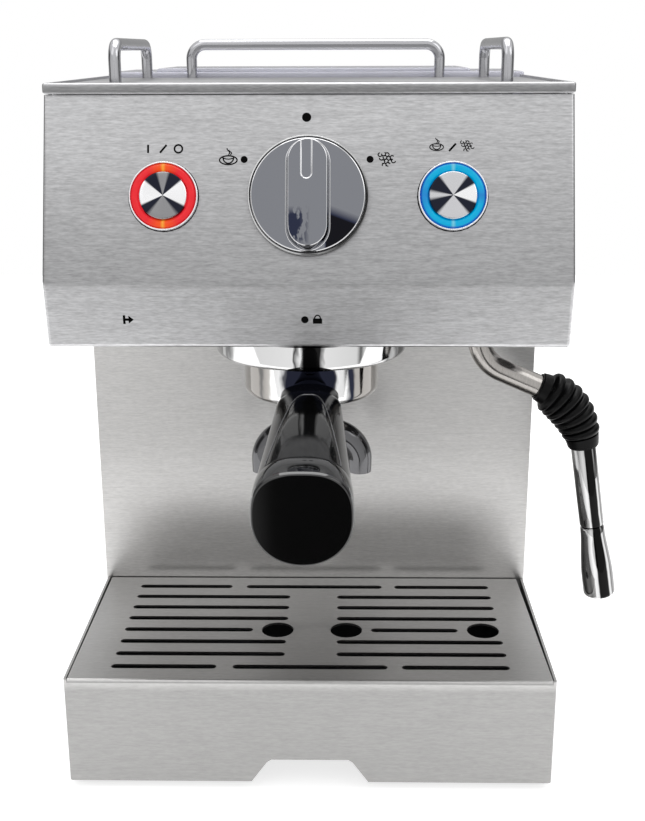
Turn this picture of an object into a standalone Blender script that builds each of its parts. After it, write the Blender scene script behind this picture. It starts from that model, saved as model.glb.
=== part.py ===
"""Compact pump espresso machine, modelled as an assembly of separate parts.

Units are metres, +Z is up and the front of the machine faces -Y. Parts are laid out
in machine coordinates: X = 0 on the mid-plane, Y = 0 at the drip tray's front face,
Z = 0 at the casing's lower edge. One parent empty then moves everything, so that the
world origin is on the table under the centre of the machine's bounding box.
"""
import math

import bmesh
import bpy
from mathutils import Vector

# ---- driving dimensions ----
HALF_WIDTH = 0.1208           # casing half width
TRAY_HALF = 0.1197            # drip tray cover half width
REAR = 0.299                  # rear edge of the side panels
SHEET = 0.0012                # steel sheet thickness
GAP = 0.0003                  # clearance between neighbouring solids
FOOT_HEIGHT = 0.004           # feet below the casing's lower edge

TRAY_TOP = 0.056              # drip tray cover, upper face
TRAY_REAR = 0.1186
PAN_FLOOR = 0.0140            # underside of the drip pan
COLUMN_FRONT = 0.120          # face of the column behind the cups
HEAD_BOTTOM = 0.2165          # underside of the head
PANEL_FOOT_Y = 0.0222         # control panel: lower edge, bend and upper edge
PANEL_BEND = (0.0182, 0.2476)
PANEL_TOP = (0.0449, 0.3290)
LID_TOP = 0.3344
LID_FRONT = 0.0429
LID_REAR = 0.2050

GROUP_Y = 0.070               # brewing axis, on the mid-plane
COLLAR_RADIUS = 0.0475
COLLAR_TOP = 0.2162
COLLAR_BOTTOM = 0.2042
CUP_RADIUS = 0.03385
CUP_TOP = 0.2129
CUP_BOTTOM = 0.1770
SPOUT_TIP = 0.1390
HANDLE_START = (0.0350, 0.1876)   # handle axis in the mid-plane: y, z
HANDLE_END = (-0.0800, 0.1720)

WAND_X, WAND_Y = 0.083, 0.060     # swivel axis of the steam wand
WAND_ELBOW = (0.083, 0.2010)      # pipe corners in the wand's plane: x, z
WAND_KNEE = (0.1339, 0.1787)
WAND_TIP = (0.1509, 0.0746)
WAND_RADIUS = 0.0057
ELBOW_CURVE, KNEE_CURVE = 0.019, 0.038

TANK_FRONT, TANK_BACK = 0.213, 0.298
TANK_FLOOR = 0.106
RAIL_TOP = 0.3513
RAIL_RADIUS = 0.003
REACH_LEFT = HALF_WIDTH
REACH_RIGHT = 0.1583          # side of the frothing nozzle
REACH_FRONT = 0.0825          # handle end
REACH_BACK = 0.3030           # cord gland

PANEL_TILT = math.atan2(PANEL_TOP[0] - PANEL_BEND[0], PANEL_TOP[1] - PANEL_BEND[1])
KNOB_UP = 0.0392              # control centres above the bend, along the slope
BUTTON_X = 0.0655
INSERT_TURN = math.radians(-55)    # portafilter handle, from locked to inserted

LOOKS = {                     # colour, metallic, roughness
    "brushed_steel": ((0.60, 0.59, 0.57), 1.0, 0.32),
    "chrome": ((0.82, 0.82, 0.83), 1.0, 0.06),
    "black_gloss": ((0.010, 0.010, 0.012), 0.0, 0.10),
    "black_plastic": ((0.030, 0.030, 0.032), 0.0, 0.45),
    "rubber": ((0.020, 0.020, 0.021), 0.0, 0.60),
    "knob_mirror": ((0.33, 0.34, 0.36), 1.0, 0.12),
    "spun_steel": ((0.70, 0.69, 0.67), 1.0, 0.22),
    "red_light": ((0.95, 0.07, 0.03), 0.0, 0.25),
    "blue_light": ((0.05, 0.55, 0.95), 0.0, 0.25),
    "tank_plastic": ((0.62, 0.63, 0.80), 0.0, 0.12),
    "brass": ((0.72, 0.55, 0.28), 1.0, 0.30),
    "aluminium": ((0.70, 0.70, 0.70), 1.0, 0.40),
    "board": ((0.03, 0.20, 0.09), 0.0, 0.50),
    "hose": ((0.85, 0.84, 0.80), 0.0, 0.40),
}


# ---- scene set-up ----
def clear_scene():
    for obj in list(bpy.data.objects):
        bpy.data.objects.remove(obj, do_unlink=True)


def new_collection(name):
    group = bpy.data.collections.new(name)
    bpy.context.scene.collection.children.link(group)
    return group


def look(name):
    found = bpy.data.materials.get(name)
    if found:
        return found
    colour, metallic, roughness = LOOKS[name]
    made = bpy.data.materials.new(name)
    made.use_nodes = True
    shader = made.node_tree.nodes["Principled BSDF"]
    shader.inputs["Base Color"].default_value = (*colour, 1.0)
    shader.inputs["Metallic"].default_value = metallic
    shader.inputs["Roughness"].default_value = roughness
    return made


def pivot(name, place, turn=(0.0, 0.0, 0.0)):
    """An empty in machine coordinates, on a joint's axis."""
    empty = bpy.data.objects.new(name, None)
    PARTS.objects.link(empty)
    empty.parent = FRAME
    empty.location = place
    empty.rotation_euler = turn
    return empty


def add_part(name, data, material, parent=None, local=False):
    """Link one sub-part; local parts are modelled in their pivot's own axes."""
    obj = bpy.data.objects.new(name, data)
    PARTS.objects.link(obj)
    data.materials.append(look(material))
    obj.parent = parent or FRAME
    if parent and not local:
        obj.location = -parent.location
    return obj


def add_cutter(name, data, like):
    """A Boolean operand that moves with the part it shapes."""
    obj = bpy.data.objects.new(name, data)
    CUTTERS.objects.link(obj)
    obj.parent = like.parent
    obj.location = like.location
    obj.hide_render = True
    obj.display_type = "WIRE"
    return obj


# ---- shapes ----
def to_mesh(bm, name):
    mesh = bpy.data.meshes.new(name)
    bm.to_mesh(mesh)
    bm.free()
    return mesh


def put_box(bm, low, high):
    made = bmesh.ops.create_cube(bm, size=1.0)
    low, high = Vector(low), Vector(high)
    for vert in made["verts"]:
        vert.co = Vector(low[i] + (high[i] - low[i]) * (vert.co[i] + 0.5) for i in range(3))


def box_mesh(name, *boxes):
    bm = bmesh.new()
    for low, high in boxes:
        put_box(bm, low, high)
    return to_mesh(bm, name)


def put_disc(bm, centre, radius, bottom, top, segments=28):
    """A vertical cylinder."""
    made = bmesh.ops.create_cone(bm, segments=segments, radius1=radius, radius2=radius,
                                 depth=top - bottom, cap_ends=True)
    shift = Vector((centre[0], centre[1], (bottom + top) / 2))
    bmesh.ops.translate(bm, verts=made["verts"], vec=shift)


def disc_mesh(name, centre, radius, bottom, top, segments=28):
    bm = bmesh.new()
    put_disc(bm, centre, radius, bottom, top, segments)
    return to_mesh(bm, name)


def put_slot(bm, ends, y, radius, bottom, top, arc=5):
    """A round-ended slot along X, as a closed prism."""
    outline = []
    for centre, start in ((ends[1], -90), (ends[0], 90)):
        for step in range(arc + 1):
            angle = math.radians(start + 180 * step / arc)
            spot = (centre + radius * math.cos(angle), y + radius * math.sin(angle), bottom)
            outline.append(bm.verts.new(spot))
    face = bm.faces.new(outline)
    grown = bmesh.ops.extrude_face_region(bm, geom=[face])
    lifted = [item for item in grown["geom"] if isinstance(item, bmesh.types.BMVert)]
    bmesh.ops.translate(bm, verts=lifted, vec=(0.0, 0.0, top - bottom))
    bmesh.ops.recalc_face_normals(bm, faces=bm.faces)


def arc_points(centre, radius, start, end, steps):
    """Points of an arc in a radius/height profile; angles in degrees."""
    angles = [math.radians(start + (end - start) * i / steps) for i in range(steps + 1)]
    return [(centre[0] + radius * math.cos(a), centre[1] + radius * math.sin(a)) for a in angles]


def turned(name, profile, material, parent, local=False, closed=False, segments=32, axis=(0, 0)):
    """Turn a profile of (radius, height), listed down the outer side, about a vertical axis."""
    bm = bmesh.new()
    verts = [bm.verts.new((radius, 0.0, height)) for radius, height in profile]
    for first, second in zip(verts, verts[1:]):
        bm.edges.new((first, second))
    if closed:
        bm.edges.new((verts[-1], verts[0]))
    obj = add_part(name, to_mesh(bm, name), material, parent, local)
    obj.location = obj.location + Vector((axis[0], axis[1], 0.0))
    screw = obj.modifiers.new("turn", "SCREW")
    screw.steps = segments
    screw.render_steps = segments
    screw.use_merge_vertices = True
    screw.merge_threshold = 0.00001
    screw.use_smooth_shade = True
    return obj


def bevel(obj, width, segments=2, angle=30):
    mod = obj.modifiers.new("round", "BEVEL")
    mod.width = width
    mod.segments = segments
    mod.limit_method = "ANGLE"
    mod.angle_limit = math.radians(angle)


def boolean(obj, other, operation="DIFFERENCE"):
    mod = obj.modifiers.new(operation.lower(), "BOOLEAN")
    mod.operation = operation
    mod.solver = "EXACT"
    mod.object = other


def thicken(obj, amount=SHEET):
    """Give an open sheet its thickness, on the side its faces point away from."""
    mod = obj.modifiers.new("sheet", "SOLIDIFY")
    mod.thickness = amount
    mod.offset = -1.0
    mod.use_even_offset = True


def rounded_path(corners, radii, steps=5):
    """Replace the inner corners of a path with arcs, one radius for each."""
    points = [Vector(corners[0])]
    for before, corner, after, radius in zip(corners, corners[1:], corners[2:], radii):
        corner = Vector(corner)
        back = (Vector(before) - corner).normalized()
        ahead = (Vector(after) - corner).normalized()
        half = back.angle(ahead) / 2
        bisector = (back + ahead).normalized()
        centre = corner + bisector * (radius / math.sin(half))
        start = corner + back * (radius / math.tan(half)) - centre
        end = corner + ahead * (radius / math.tan(half)) - centre
        sweep = start.angle(end)
        for i in range(steps + 1):
            t = i / steps
            spoke = start * math.sin((1 - t) * sweep) + end * math.sin(t * sweep)
            points.append(centre + spoke / math.sin(sweep))
    points.append(Vector(corners[-1]))
    return points


def rod(name, points, radius, material, parent=None):
    """A round bar along a list of points."""
    curve = bpy.data.curves.new(name, "CURVE")
    curve.dimensions = "3D"
    curve.bevel_depth = radius
    curve.bevel_resolution = 2
    curve.use_fill_caps = True
    spline = curve.splines.new("POLY")
    spline.points.add(len(points) - 1)
    for slot, point in zip(spline.points, points):
        slot.co = (*point, 1.0)
    return add_part(name, curve, material, parent)


def rings_mesh(name, rings, closed_loop=False):
    """Skin a list of equal rings of points; ends are capped unless the rings form a loop."""
    bm = bmesh.new()
    loops = [[bm.verts.new(point) for point in ring] for ring in rings]
    count = len(loops[0])
    pairs = list(zip(loops, loops[1:]))
    if closed_loop:
        pairs.append((loops[-1], loops[0]))
    for first, second in pairs:
        for i in range(count):
            j = (i + 1) % count
            bm.faces.new((first[i], first[j], second[j], second[i]))
    if not closed_loop:
        bm.faces.new(loops[0])
        bm.faces.new(loops[-1])
    bmesh.ops.recalc_face_normals(bm, faces=bm.faces)
    for face in bm.faces:
        face.smooth = len(face.verts) == 4
    return to_mesh(bm, name)


# ---- casing ----
def base_plate():
    """The casing's floor, with a narrower tongue and two runners under the drip pan."""
    bottom, top, rear = 0.0020, 0.0050, 0.2955
    obj = add_part("base_plate", box_mesh("base_plate", ((-0.1170, 0.1222, bottom), (0.1170, rear, top))),
                   "black_plastic")
    tongue = box_mesh("tongue", ((-0.1100, 0.0340, bottom), (0.1100, 0.1240, top)))
    boolean(obj, add_cutter("tongue", tongue, obj), "UNION")
    for left in (-0.1015, 0.1000):
        runner = box_mesh("runner", ((left, 0.0360, 0.0045), (left + 0.0015, 0.1180, PAN_FLOOR - GAP)))
        boolean(obj, add_cutter("runner", runner, obj), "UNION")


def feet():
    places = {"front_left": (-0.098, 0.048), "front_right": (0.098, 0.048),
              "rear_left": (-0.098, 0.272), "rear_right": (0.098, 0.272)}
    for where, place in places.items():
        profile = [(0.0, 0.0017), (0.0080, 0.0017), (0.0090, -0.0030), (0.0082, -FOOT_HEIGHT),
                   (0.0, -FOOT_HEIGHT)]
        turned("foot_" + where, profile, "rubber", None, segments=20, axis=place)


def side_panel(name, side):
    """A sheet in the shape of the column and head, with folded edges."""
    back_off = 0.0125
    outline = [
        (PANEL_FOOT_Y + back_off, HEAD_BOTTOM), (PANEL_BEND[0] + back_off, PANEL_BEND[1]),
        (PANEL_TOP[0] + back_off, PANEL_TOP[1]), (0.0620, PANEL_TOP[1]),
        (0.2900, PANEL_TOP[1]), (REAR, PANEL_TOP[1]), (REAR, 0.3220), (REAR, 0.0060),
        (REAR, 0.0005), (0.2900, 0.0005), (0.1280, 0.0005), (COLUMN_FRONT, 0.0005),
        (COLUMN_FRONT, 0.0060), (COLUMN_FRONT, 0.2100), (COLUMN_FRONT, HEAD_BOTTOM),
        (0.1130, HEAD_BOTTOM), (0.0400, HEAD_BOTTOM),
    ]
    folds = {3: 0.005, 6: 0.008, 9: 0.008, 12: 0.004, 15: 0.006}
    bm = bmesh.new()
    verts = [bm.verts.new((side * HALF_WIDTH, y, z)) for y, z in outline]
    face = bm.faces.new(verts if side > 0 else list(reversed(verts)))
    face.normal_update()
    if face.normal.x * side < 0:
        face.normal_flip()
    for start, depth in folds.items():
        edge = bm.edges.get((verts[start], verts[start + 1]))
        grown = bmesh.ops.extrude_edge_only(bm, edges=[edge])
        moved = [item for item in grown["geom"] if isinstance(item, bmesh.types.BMVert)]
        bmesh.ops.translate(bm, verts=moved, vec=(-side * depth, 0.0, 0.0))
    bmesh.ops.recalc_face_normals(bm, faces=bm.faces)
    bm.faces.ensure_lookup_table()
    big = max(bm.faces, key=lambda item: item.calc_area())
    if big.normal.x * side < 0:
        bmesh.ops.reverse_faces(bm, faces=bm.faces)
    obj = add_part(name, to_mesh(bm, name), "brushed_steel")
    bevel(obj, 0.0014, 3)
    thicken(obj)


def control_panel():
    """The folded front sheet: sloping face, lower strip, underside and side returns."""
    reach = 0.012
    front = [PANEL_TOP, PANEL_BEND, (PANEL_FOOT_Y, HEAD_BOTTOM)]
    bm = bmesh.new()
    left, right, left_back, right_back = [], [], [], []
    for y, z in front:
        left.append(bm.verts.new((-HALF_WIDTH, y, z)))
        right.append(bm.verts.new((HALF_WIDTH, y, z)))
        left_back.append(bm.verts.new((-HALF_WIDTH, y + reach, z)))
        right_back.append(bm.verts.new((HALF_WIDTH, y + reach, z)))
    for i in range(2):
        bm.faces.new((left[i], left[i + 1], right[i + 1], right[i]))
        bm.faces.new((left_back[i], left_back[i + 1], left[i + 1], left[i]))
        bm.faces.new((right[i], right[i + 1], right_back[i + 1], right_back[i]))
    bm.faces.new((left[2], left_back[2], right_back[2], right[2]))
    bmesh.ops.recalc_face_normals(bm, faces=bm.faces)
    bm.faces.ensure_lookup_table()
    if bm.faces[0].normal.y > 0:
        bmesh.ops.reverse_faces(bm, faces=bm.faces)
    obj = add_part("control_panel", to_mesh(bm, "control_panel"), "brushed_steel")
    bevel(obj, 0.0016, 3, angle=25)
    thicken(obj)
    for x, radius in ((0.0, 0.0060), (-BUTTON_X, 0.0162), (BUTTON_X, 0.0162)):
        hole = add_cutter("panel_hole", disc_mesh("panel_hole", (0, 0), radius, -0.006, 0.006), obj)
        hole.location = panel_point(x)
        hole.rotation_euler = (math.pi / 2 - PANEL_TILT, 0.0, 0.0)
        boolean(obj, hole)


def panel_point(x):
    """A control's centre on the sloping face, in machine coordinates."""
    return Vector((x, PANEL_BEND[0] + KNOB_UP * math.sin(PANEL_TILT),
                   PANEL_BEND[1] + KNOB_UP * math.cos(PANEL_TILT)))


def top_lid():
    bottom = PANEL_TOP[1] + 0.0004
    side = HALF_WIDTH
    obj = add_part("top_lid", box_mesh("top_lid", ((-side, LID_FRONT, bottom), (side, LID_REAR, LID_TOP))),
                   "brushed_steel")
    bevel(obj, 0.0011, 3)
    dish = box_mesh("lid_dish", ((-0.1180, LID_FRONT + 0.003, LID_TOP - 0.0012), (0.1180, 0.2100, 0.3450)))
    boolean(obj, add_cutter("lid_dish", dish, obj))
    hollow = box_mesh("lid_hollow", ((-0.1193, LID_FRONT + 0.002, 0.3200),
                                     (0.1193, LID_REAR - 0.0015, LID_TOP - 0.0026)))
    boolean(obj, add_cutter("lid_hollow", hollow, obj))
    bm = bmesh.new()
    for place in rail_legs():
        put_disc(bm, place, RAIL_RADIUS + GAP, 0.325, 0.340, 12)
    boolean(obj, add_cutter("leg_holes", to_mesh(bm, "leg_holes"), obj))


def rail_legs():
    side = [(x, y) for x in (-0.0958, 0.0958) for y in (0.0908, 0.1916)]
    return side + [(-0.0710, 0.1980), (0.0710, 0.1980)]


def cup_rails():
    foot = 0.3264
    legs = rail_legs()
    pairs = {"left": legs[0:2], "right": legs[2:4], "rear": legs[4:6]}
    for where, (first, second) in pairs.items():
        corners = [(*first, foot), (*first, RAIL_TOP), (*second, RAIL_TOP), (*second, foot)]
        rod("cup_rail_" + where, rounded_path(corners, (0.0080, 0.0080)), RAIL_RADIUS, "chrome")


def column_panel():
    face = COLUMN_FRONT - 0.0010
    mesh = box_mesh("column_panel", ((-0.1204, face, 0.0056), (0.1204, face + 0.0007, 0.2158)))
    add_part("column_panel", mesh, "brushed_steel")


def head_floor():
    mesh = box_mesh("head_floor", ((-0.1142, 0.0355, 0.2176), (0.1142, 0.1190, 0.2195)))
    obj = add_part("head_floor", mesh, "black_plastic")
    holes = bmesh.new()
    put_disc(holes, (0.0, GROUP_Y), 0.0335, 0.21, 0.23)
    put_disc(holes, (WAND_X, WAND_Y), 0.0082, 0.21, 0.23, 20)
    boolean(obj, add_cutter("floor_holes", to_mesh(holes, "floor_holes"), obj))


def rear_panel():
    obj = add_part("rear_panel", box_mesh("rear_panel", ((-0.117, 0.2959, 0.0056), (0.117, 0.2975, 0.0972))),
                   "black_plastic")
    slots = bmesh.new()
    for row in range(6):
        height = 0.030 + 0.009 * row
        put_box(slots, (-0.010, 0.290, height), (0.090, 0.300, height + 0.004))
    boolean(obj, add_cutter("vents", to_mesh(slots, "vents"), obj))


def cord_gland():
    profile = [(0.0, 0.0), (0.0100, 0.0), (0.0100, -0.0015), (0.0070, -0.0020), (0.0062, -0.0054),
               (0.0, -0.0054)]
    mouth = pivot("gland_axis", (-0.075, 0.2976, 0.050), (math.pi / 2, 0.0, 0.0))
    turned("cord_gland", profile, "rubber", mouth, local=True, segments=20)


def tank_bay():
    obj = add_part("tank_bay", box_mesh("tank_bay", ((-0.114, 0.2090, 0.0980), (0.114, 0.2965, 0.1010))),
                   "black_plastic")
    wall = box_mesh("bay_wall", ((-0.114, 0.2085, 0.0980), (0.114, 0.2105, 0.3270)))
    boolean(obj, add_cutter("bay_wall", wall, obj), "UNION")


# ---- brew group and internals ----
def brew_group():
    lip, channel = 0.0343, 0.0396
    curve = 0.0030
    outside = [(COLLAR_RADIUS, COLLAR_TOP)]
    outside += arc_points((COLLAR_RADIUS - curve, COLLAR_BOTTOM + curve), curve, 0, -90, 4)
    inside = [(lip + 0.0006, COLLAR_BOTTOM), (lip, COLLAR_BOTTOM + 0.0006), (lip, 0.2087),
              (channel, 0.2087), (channel, COLLAR_TOP)]
    collar = turned("brew_collar", outside + inside, "chrome", None, closed=True, segments=48,
                    axis=(0, GROUP_Y))
    entry = bmesh.new()
    for side in (-1, 1):
        spot = (side * 0.0345 * math.cos(INSERT_TURN), side * 0.0345 * math.sin(INSERT_TURN))
        put_disc(entry, spot, 0.0068, 0.2030, 0.2090, 12)
    boolean(collar, add_cutter("lug_entries", to_mesh(entry, "lug_entries"), collar))
    turned("brew_head", [(0.0, 0.2258), (0.0330, 0.2258), (0.0330, 0.2170), (0.0350, 0.2170),
                         (0.0350, 0.2164), (0.0, 0.2164)], "aluminium", None, axis=(0, GROUP_Y))
    turned("group_gasket", [(0.0345, 0.2161), (0.0345, 0.2141), (0.0290, 0.2141), (0.0290, 0.2161)],
           "rubber", None, closed=True, axis=(0, GROUP_Y))
    turned("shower_screen", [(0.0, 0.2161), (0.0262, 0.2161), (0.0262, 0.2144), (0.0040, 0.2139),
                             (0.0, 0.2139)], "spun_steel", None, axis=(0, GROUP_Y))
    turned("boiler", [(0.0, 0.2580), (0.0300, 0.2580), (0.0350, 0.2540), (0.0350, 0.2261), (0.0, 0.2261)],
           "aluminium", None, segments=28, axis=(0, GROUP_Y + 0.006))


def water_works():
    turned("pump", [(0.0, 0.1200), (0.0060, 0.1200), (0.0060, 0.1050), (0.0210, 0.1000), (0.0240, 0.0950),
                    (0.0240, 0.0350), (0.0180, 0.0300), (0.0180, 0.0143), (0.0, 0.0143)],
           "aluminium", None, segments=24, axis=(-0.060, 0.165))
    turned("pump_mount", [(0.0, 0.0140), (0.0200, 0.0140), (0.0170, 0.0090), (0.0200, 0.0053),
                          (0.0, 0.0053)], "rubber", None, segments=20, axis=(-0.060, 0.165))
    valve = box_mesh("pressure_valve", ((0.030, 0.1217, 0.180), (0.062, 0.150, 0.206)))
    add_part("pressure_valve", valve, "brass")
    board = box_mesh("control_board", ((-0.104, 0.105, 0.236), (-0.044, 0.107, 0.312)))
    add_part("control_board", board, "board")
    turned("valve_seat", [(0.0, 0.1055), (0.0090, 0.1055), (0.0120, 0.1013), (0.0, 0.1013)],
           "black_plastic", None, segments=20, axis=(0.0, 0.255))
    hoses = {
        "suction_hose": ((0.0, 0.255, 0.0975), (0.0, 0.255, 0.070), (-0.005, 0.165, 0.022),
                         (-0.0415, 0.165, 0.022)),
        "pressure_hose": ((-0.060, 0.165, 0.1204), (-0.060, 0.165, 0.200), (-0.030, 0.150, 0.264),
                          (-0.020, 0.090, 0.264)),
        "steam_hose": ((0.030, 0.100, 0.262), (0.060, 0.100, 0.272), (WAND_X, WAND_Y, 0.264),
                       (WAND_X, WAND_Y, 0.2330)),
    }
    for name, corners in hoses.items():
        rod(name, rounded_path(corners, (0.012, 0.012), 4), 0.0032, "hose")


def steam_valve():
    """The selector's valve block, square to the sloping panel behind the knob."""
    mesh = box_mesh("steam_valve", ((-0.011, -0.009, -0.046), (0.011, 0.009, -0.0275)))
    add_part("steam_valve", mesh, "brass", KNOB_AXIS, local=True)


# ---- controls, in the sloping panel's axes: Z points out of the panel ----
def selector():
    face, rim, bar_top = 0.0045, 0.0259, 0.0105
    edge = arc_points((rim - 0.0012, face - 0.0012), 0.0012, 90, 0, 3)
    profile = [(0.0, face)] + edge + [(rim, 0.0008), (0.0, 0.0008)]
    knob = turned("selector_knob", profile, "knob_mirror", KNOB_AXIS, local=True, segments=48)
    grip = bmesh.new()
    outline = [(0.0098 * math.cos(math.radians(a)), 0.0145 + 0.0098 * math.sin(math.radians(a)))
               for a in range(0, 181, 20)]
    outline += [(-x, -y) for x, y in outline]
    face_ring = grip.faces.new([grip.verts.new((x, y, face - 0.0020)) for x, y in outline])
    grown = bmesh.ops.extrude_face_region(grip, geom=[face_ring])
    lifted = [item for item in grown["geom"] if isinstance(item, bmesh.types.BMVert)]
    bmesh.ops.translate(grip, verts=lifted, vec=(0.0, 0.0, bar_top - face + 0.0020))
    bmesh.ops.recalc_face_normals(grip, faces=grip.faces)
    bar = add_cutter("grip_bar", to_mesh(grip, "grip_bar"), knob)
    bevel(bar, 0.0008, 2, angle=50)
    boolean(knob, bar, "UNION")
    shaft_hole = add_cutter("shaft_hole", disc_mesh("shaft_hole", (0, 0), 0.0034, -0.002, 0.0062, 16), knob)
    boolean(knob, shaft_hole)
    turned("knob_trim_ring", [(0.0264, 0.0042), (0.0271, 0.0040), (0.0273, 0.0034), (0.0273, 0.0008),
                              (0.0262, 0.0008), (0.0262, 0.0040)], "chrome", KNOB_AXIS, local=True,
           closed=True, segments=48)
    turned("knob_shaft", [(0.0, 0.0058), (0.0030, 0.0058), (0.0030, -0.0270), (0.0, -0.0270)],
           "aluminium", KNOB_AXIS, local=True, segments=16)


def push_button(name, axis, light):
    turned(name + "_bezel", [(0.0150, 0.0020), (0.0157, 0.0016), (0.0157, -0.0040), (0.0150, -0.0040)],
           "chrome", axis, local=True, closed=True, segments=40)
    turned(name + "_light_ring", [(0.0147, 0.0015), (0.0147, -0.0040), (0.0114, -0.0040),
                                  (0.0114, 0.0015), (0.0131, 0.0024)],
           light, axis, local=True, closed=True, segments=40)
    edge = arc_points((0.0101, 0.0030), 0.0010, 90, 0, 3)
    turned(name + "_button", [(0.0, 0.0034)] + edge + [(0.0111, -0.0040), (0.0, -0.0040)],
           "spun_steel", axis, local=True, segments=40)


# ---- portafilter ----
def portafilter():
    axis = pivot("portafilter_axis", (0.0, GROUP_Y, CUP_TOP))
    wall = 0.0018
    curve, wall_foot, neck = 0.0050, 0.1875, 0.0160
    centre = (CUP_RADIUS - curve, wall_foot)
    bowl = arc_points(centre, curve, 0, -60, 4) + [(neck, CUP_BOTTOM), (0.0, CUP_BOTTOM)]
    inner = [(0.0, CUP_BOTTOM + wall), (neck, CUP_BOTTOM + wall)]
    inner += arc_points(centre, curve - wall, -60, 0, 3)
    profile = inner + [(CUP_RADIUS - wall, CUP_TOP), (CUP_RADIUS, CUP_TOP)] + bowl
    cup = turned("portafilter_cup", profile, "chrome", axis, local=True, segments=40)
    cup.location.z = -CUP_TOP
    lugs = bmesh.new()
    put_box(lugs, (CUP_RADIUS - 0.0012, -0.0055, 0.2091), (0.0385, 0.0055, 0.2122))
    put_box(lugs, (-0.0385, -0.0055, 0.2091), (-CUP_RADIUS + 0.0012, 0.0055, 0.2122))
    boolean(cup, add_cutter("lugs", to_mesh(lugs, "lugs"), cup), "UNION")
    basket = [(0.0, 0.1886), (0.0266, 0.1886), (0.0284, 0.1902), (0.0294, 0.2138), (0.0335, 0.2138),
              (0.0335, 0.2132), (0.0300, 0.2132), (0.0290, 0.1900), (0.0270, 0.1880), (0.0, 0.1880)]
    filter_basket = turned("filter_basket", basket, "spun_steel", axis, local=True)
    filter_basket.location.z = -CUP_TOP
    twin_spout(axis)
    handle(axis)


def twin_spout(axis):
    reach, drop = 0.0248, 0.1600
    corners = [(-reach, GROUP_Y, SPOUT_TIP), (-reach, GROUP_Y, drop), (reach, GROUP_Y, drop),
               (reach, GROUP_Y, SPOUT_TIP)]
    arch = rod("spout_arch", rounded_path(corners, (0.0150, 0.0150)), 0.0066, "chrome", axis)
    bpy.context.view_layer.update()
    ready = arch.evaluated_get(bpy.context.evaluated_depsgraph_get())
    mesh = bpy.data.meshes.new_from_object(ready)
    bm = bmesh.new()
    bm.from_mesh(mesh)
    bmesh.ops.remove_doubles(bm, verts=bm.verts, dist=0.000001)
    bmesh.ops.recalc_face_normals(bm, faces=bm.faces)
    bm.to_mesh(mesh)
    bm.free()
    bpy.data.objects.remove(arch, do_unlink=True)
    mesh.materials.clear()
    spout = add_part("twin_spout", mesh, "chrome", axis)
    hub = disc_mesh("spout_hub", (0, GROUP_Y), 0.0105, 0.1560, CUP_BOTTOM - GAP, 24)
    boolean(spout, add_cutter("spout_hub", hub, spout), "UNION")


def handle_ring(along, half_width, above, below, power=2.4, count=24):
    """One cross-section of the handle, square to its axis, at a fraction of its length."""
    start = Vector((0.0, *HANDLE_START))
    run = Vector((0.0, *HANDLE_END)) - start
    up = Vector((0.0, run.z, -run.y)).normalized()
    centre = start + run * along
    ring = []
    for step in range(count):
        angle = 2 * math.pi * step / count
        c, s = math.cos(angle), math.sin(angle)
        rise = above if s > 0 else below
        x = half_width * math.copysign(abs(c) ** (2 / power), c)
        lift = rise * math.copysign(abs(s) ** (2 / power), s)
        ring.append(centre + Vector((x, 0.0, 0.0)) + up * lift)
    return ring


def handle(axis):
    grip_end, cap_start = 0.8808, 0.8836
    shape = [(0.060, 0.0150, 0.0086, 0.0136), (0.12, 0.0156, 0.0095, 0.0144),
             (0.30, 0.0167, 0.0119, 0.0160), (0.55, 0.0182, 0.0153, 0.0182),
             (0.80, 0.0198, 0.0188, 0.0203), (grip_end, 0.0203, 0.0199, 0.0210)]
    mesh = rings_mesh("handle_grip", [handle_ring(*row) for row in shape])
    add_part("handle_grip", mesh, "black_gloss", axis)
    cap = [(cap_start, 0.0203, 0.0199, 0.0210), (0.955, 0.0205, 0.0203, 0.0214),
           (0.988, 0.0202, 0.0201, 0.0212), (1.0, 0.0190, 0.0189, 0.0200)]
    mesh = rings_mesh("handle_end_cap", [handle_ring(*row, power=2.8) for row in cap])
    add_part("handle_end_cap", mesh, "black_gloss", axis)
    ferrule = [(-0.070, 0.0134, 0.0072, 0.0112), (0.0570, 0.0142, 0.0080, 0.0128)]
    mesh = rings_mesh("handle_ferrule", [handle_ring(*row, power=2.0) for row in ferrule])
    fitted = add_part("handle_ferrule", mesh, "black_gloss", axis)
    saddle = disc_mesh("ferrule_saddle", (0, GROUP_Y), CUP_RADIUS + GAP, 0.16, 0.21, 96)
    boolean(fitted, add_cutter("ferrule_saddle", saddle, fitted))


# ---- steam wand ----
def wand_point(x, z):
    return Vector((x, WAND_Y, z))


def tube_rings(path, radii, plane_normal, count=20):
    """Rings of the given radii along a planar path."""
    rings = []
    for i, (point, radius) in enumerate(zip(path, radii)):
        ahead = path[min(i + 1, len(path) - 1)] - path[max(i - 1, 0)]
        across = ahead.normalized().cross(plane_normal)
        rings.append([point + (across * math.cos(a) + plane_normal * math.sin(a)) * radius
                      for a in (2 * math.pi * k / count for k in range(count))])
    return rings


def path_between(path, start, end, count):
    """Evenly spaced points between two distances along a path."""
    spans = [(b - a).length for a, b in zip(path, path[1:])]
    result = []
    for i in range(count):
        left = start + (end - start) * i / (count - 1)
        for a, b, span in zip(path, path[1:], spans):
            if left <= span or b is path[-1]:
                result.append(a.lerp(b, left / span))
                break
            left -= span
    return result


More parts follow.
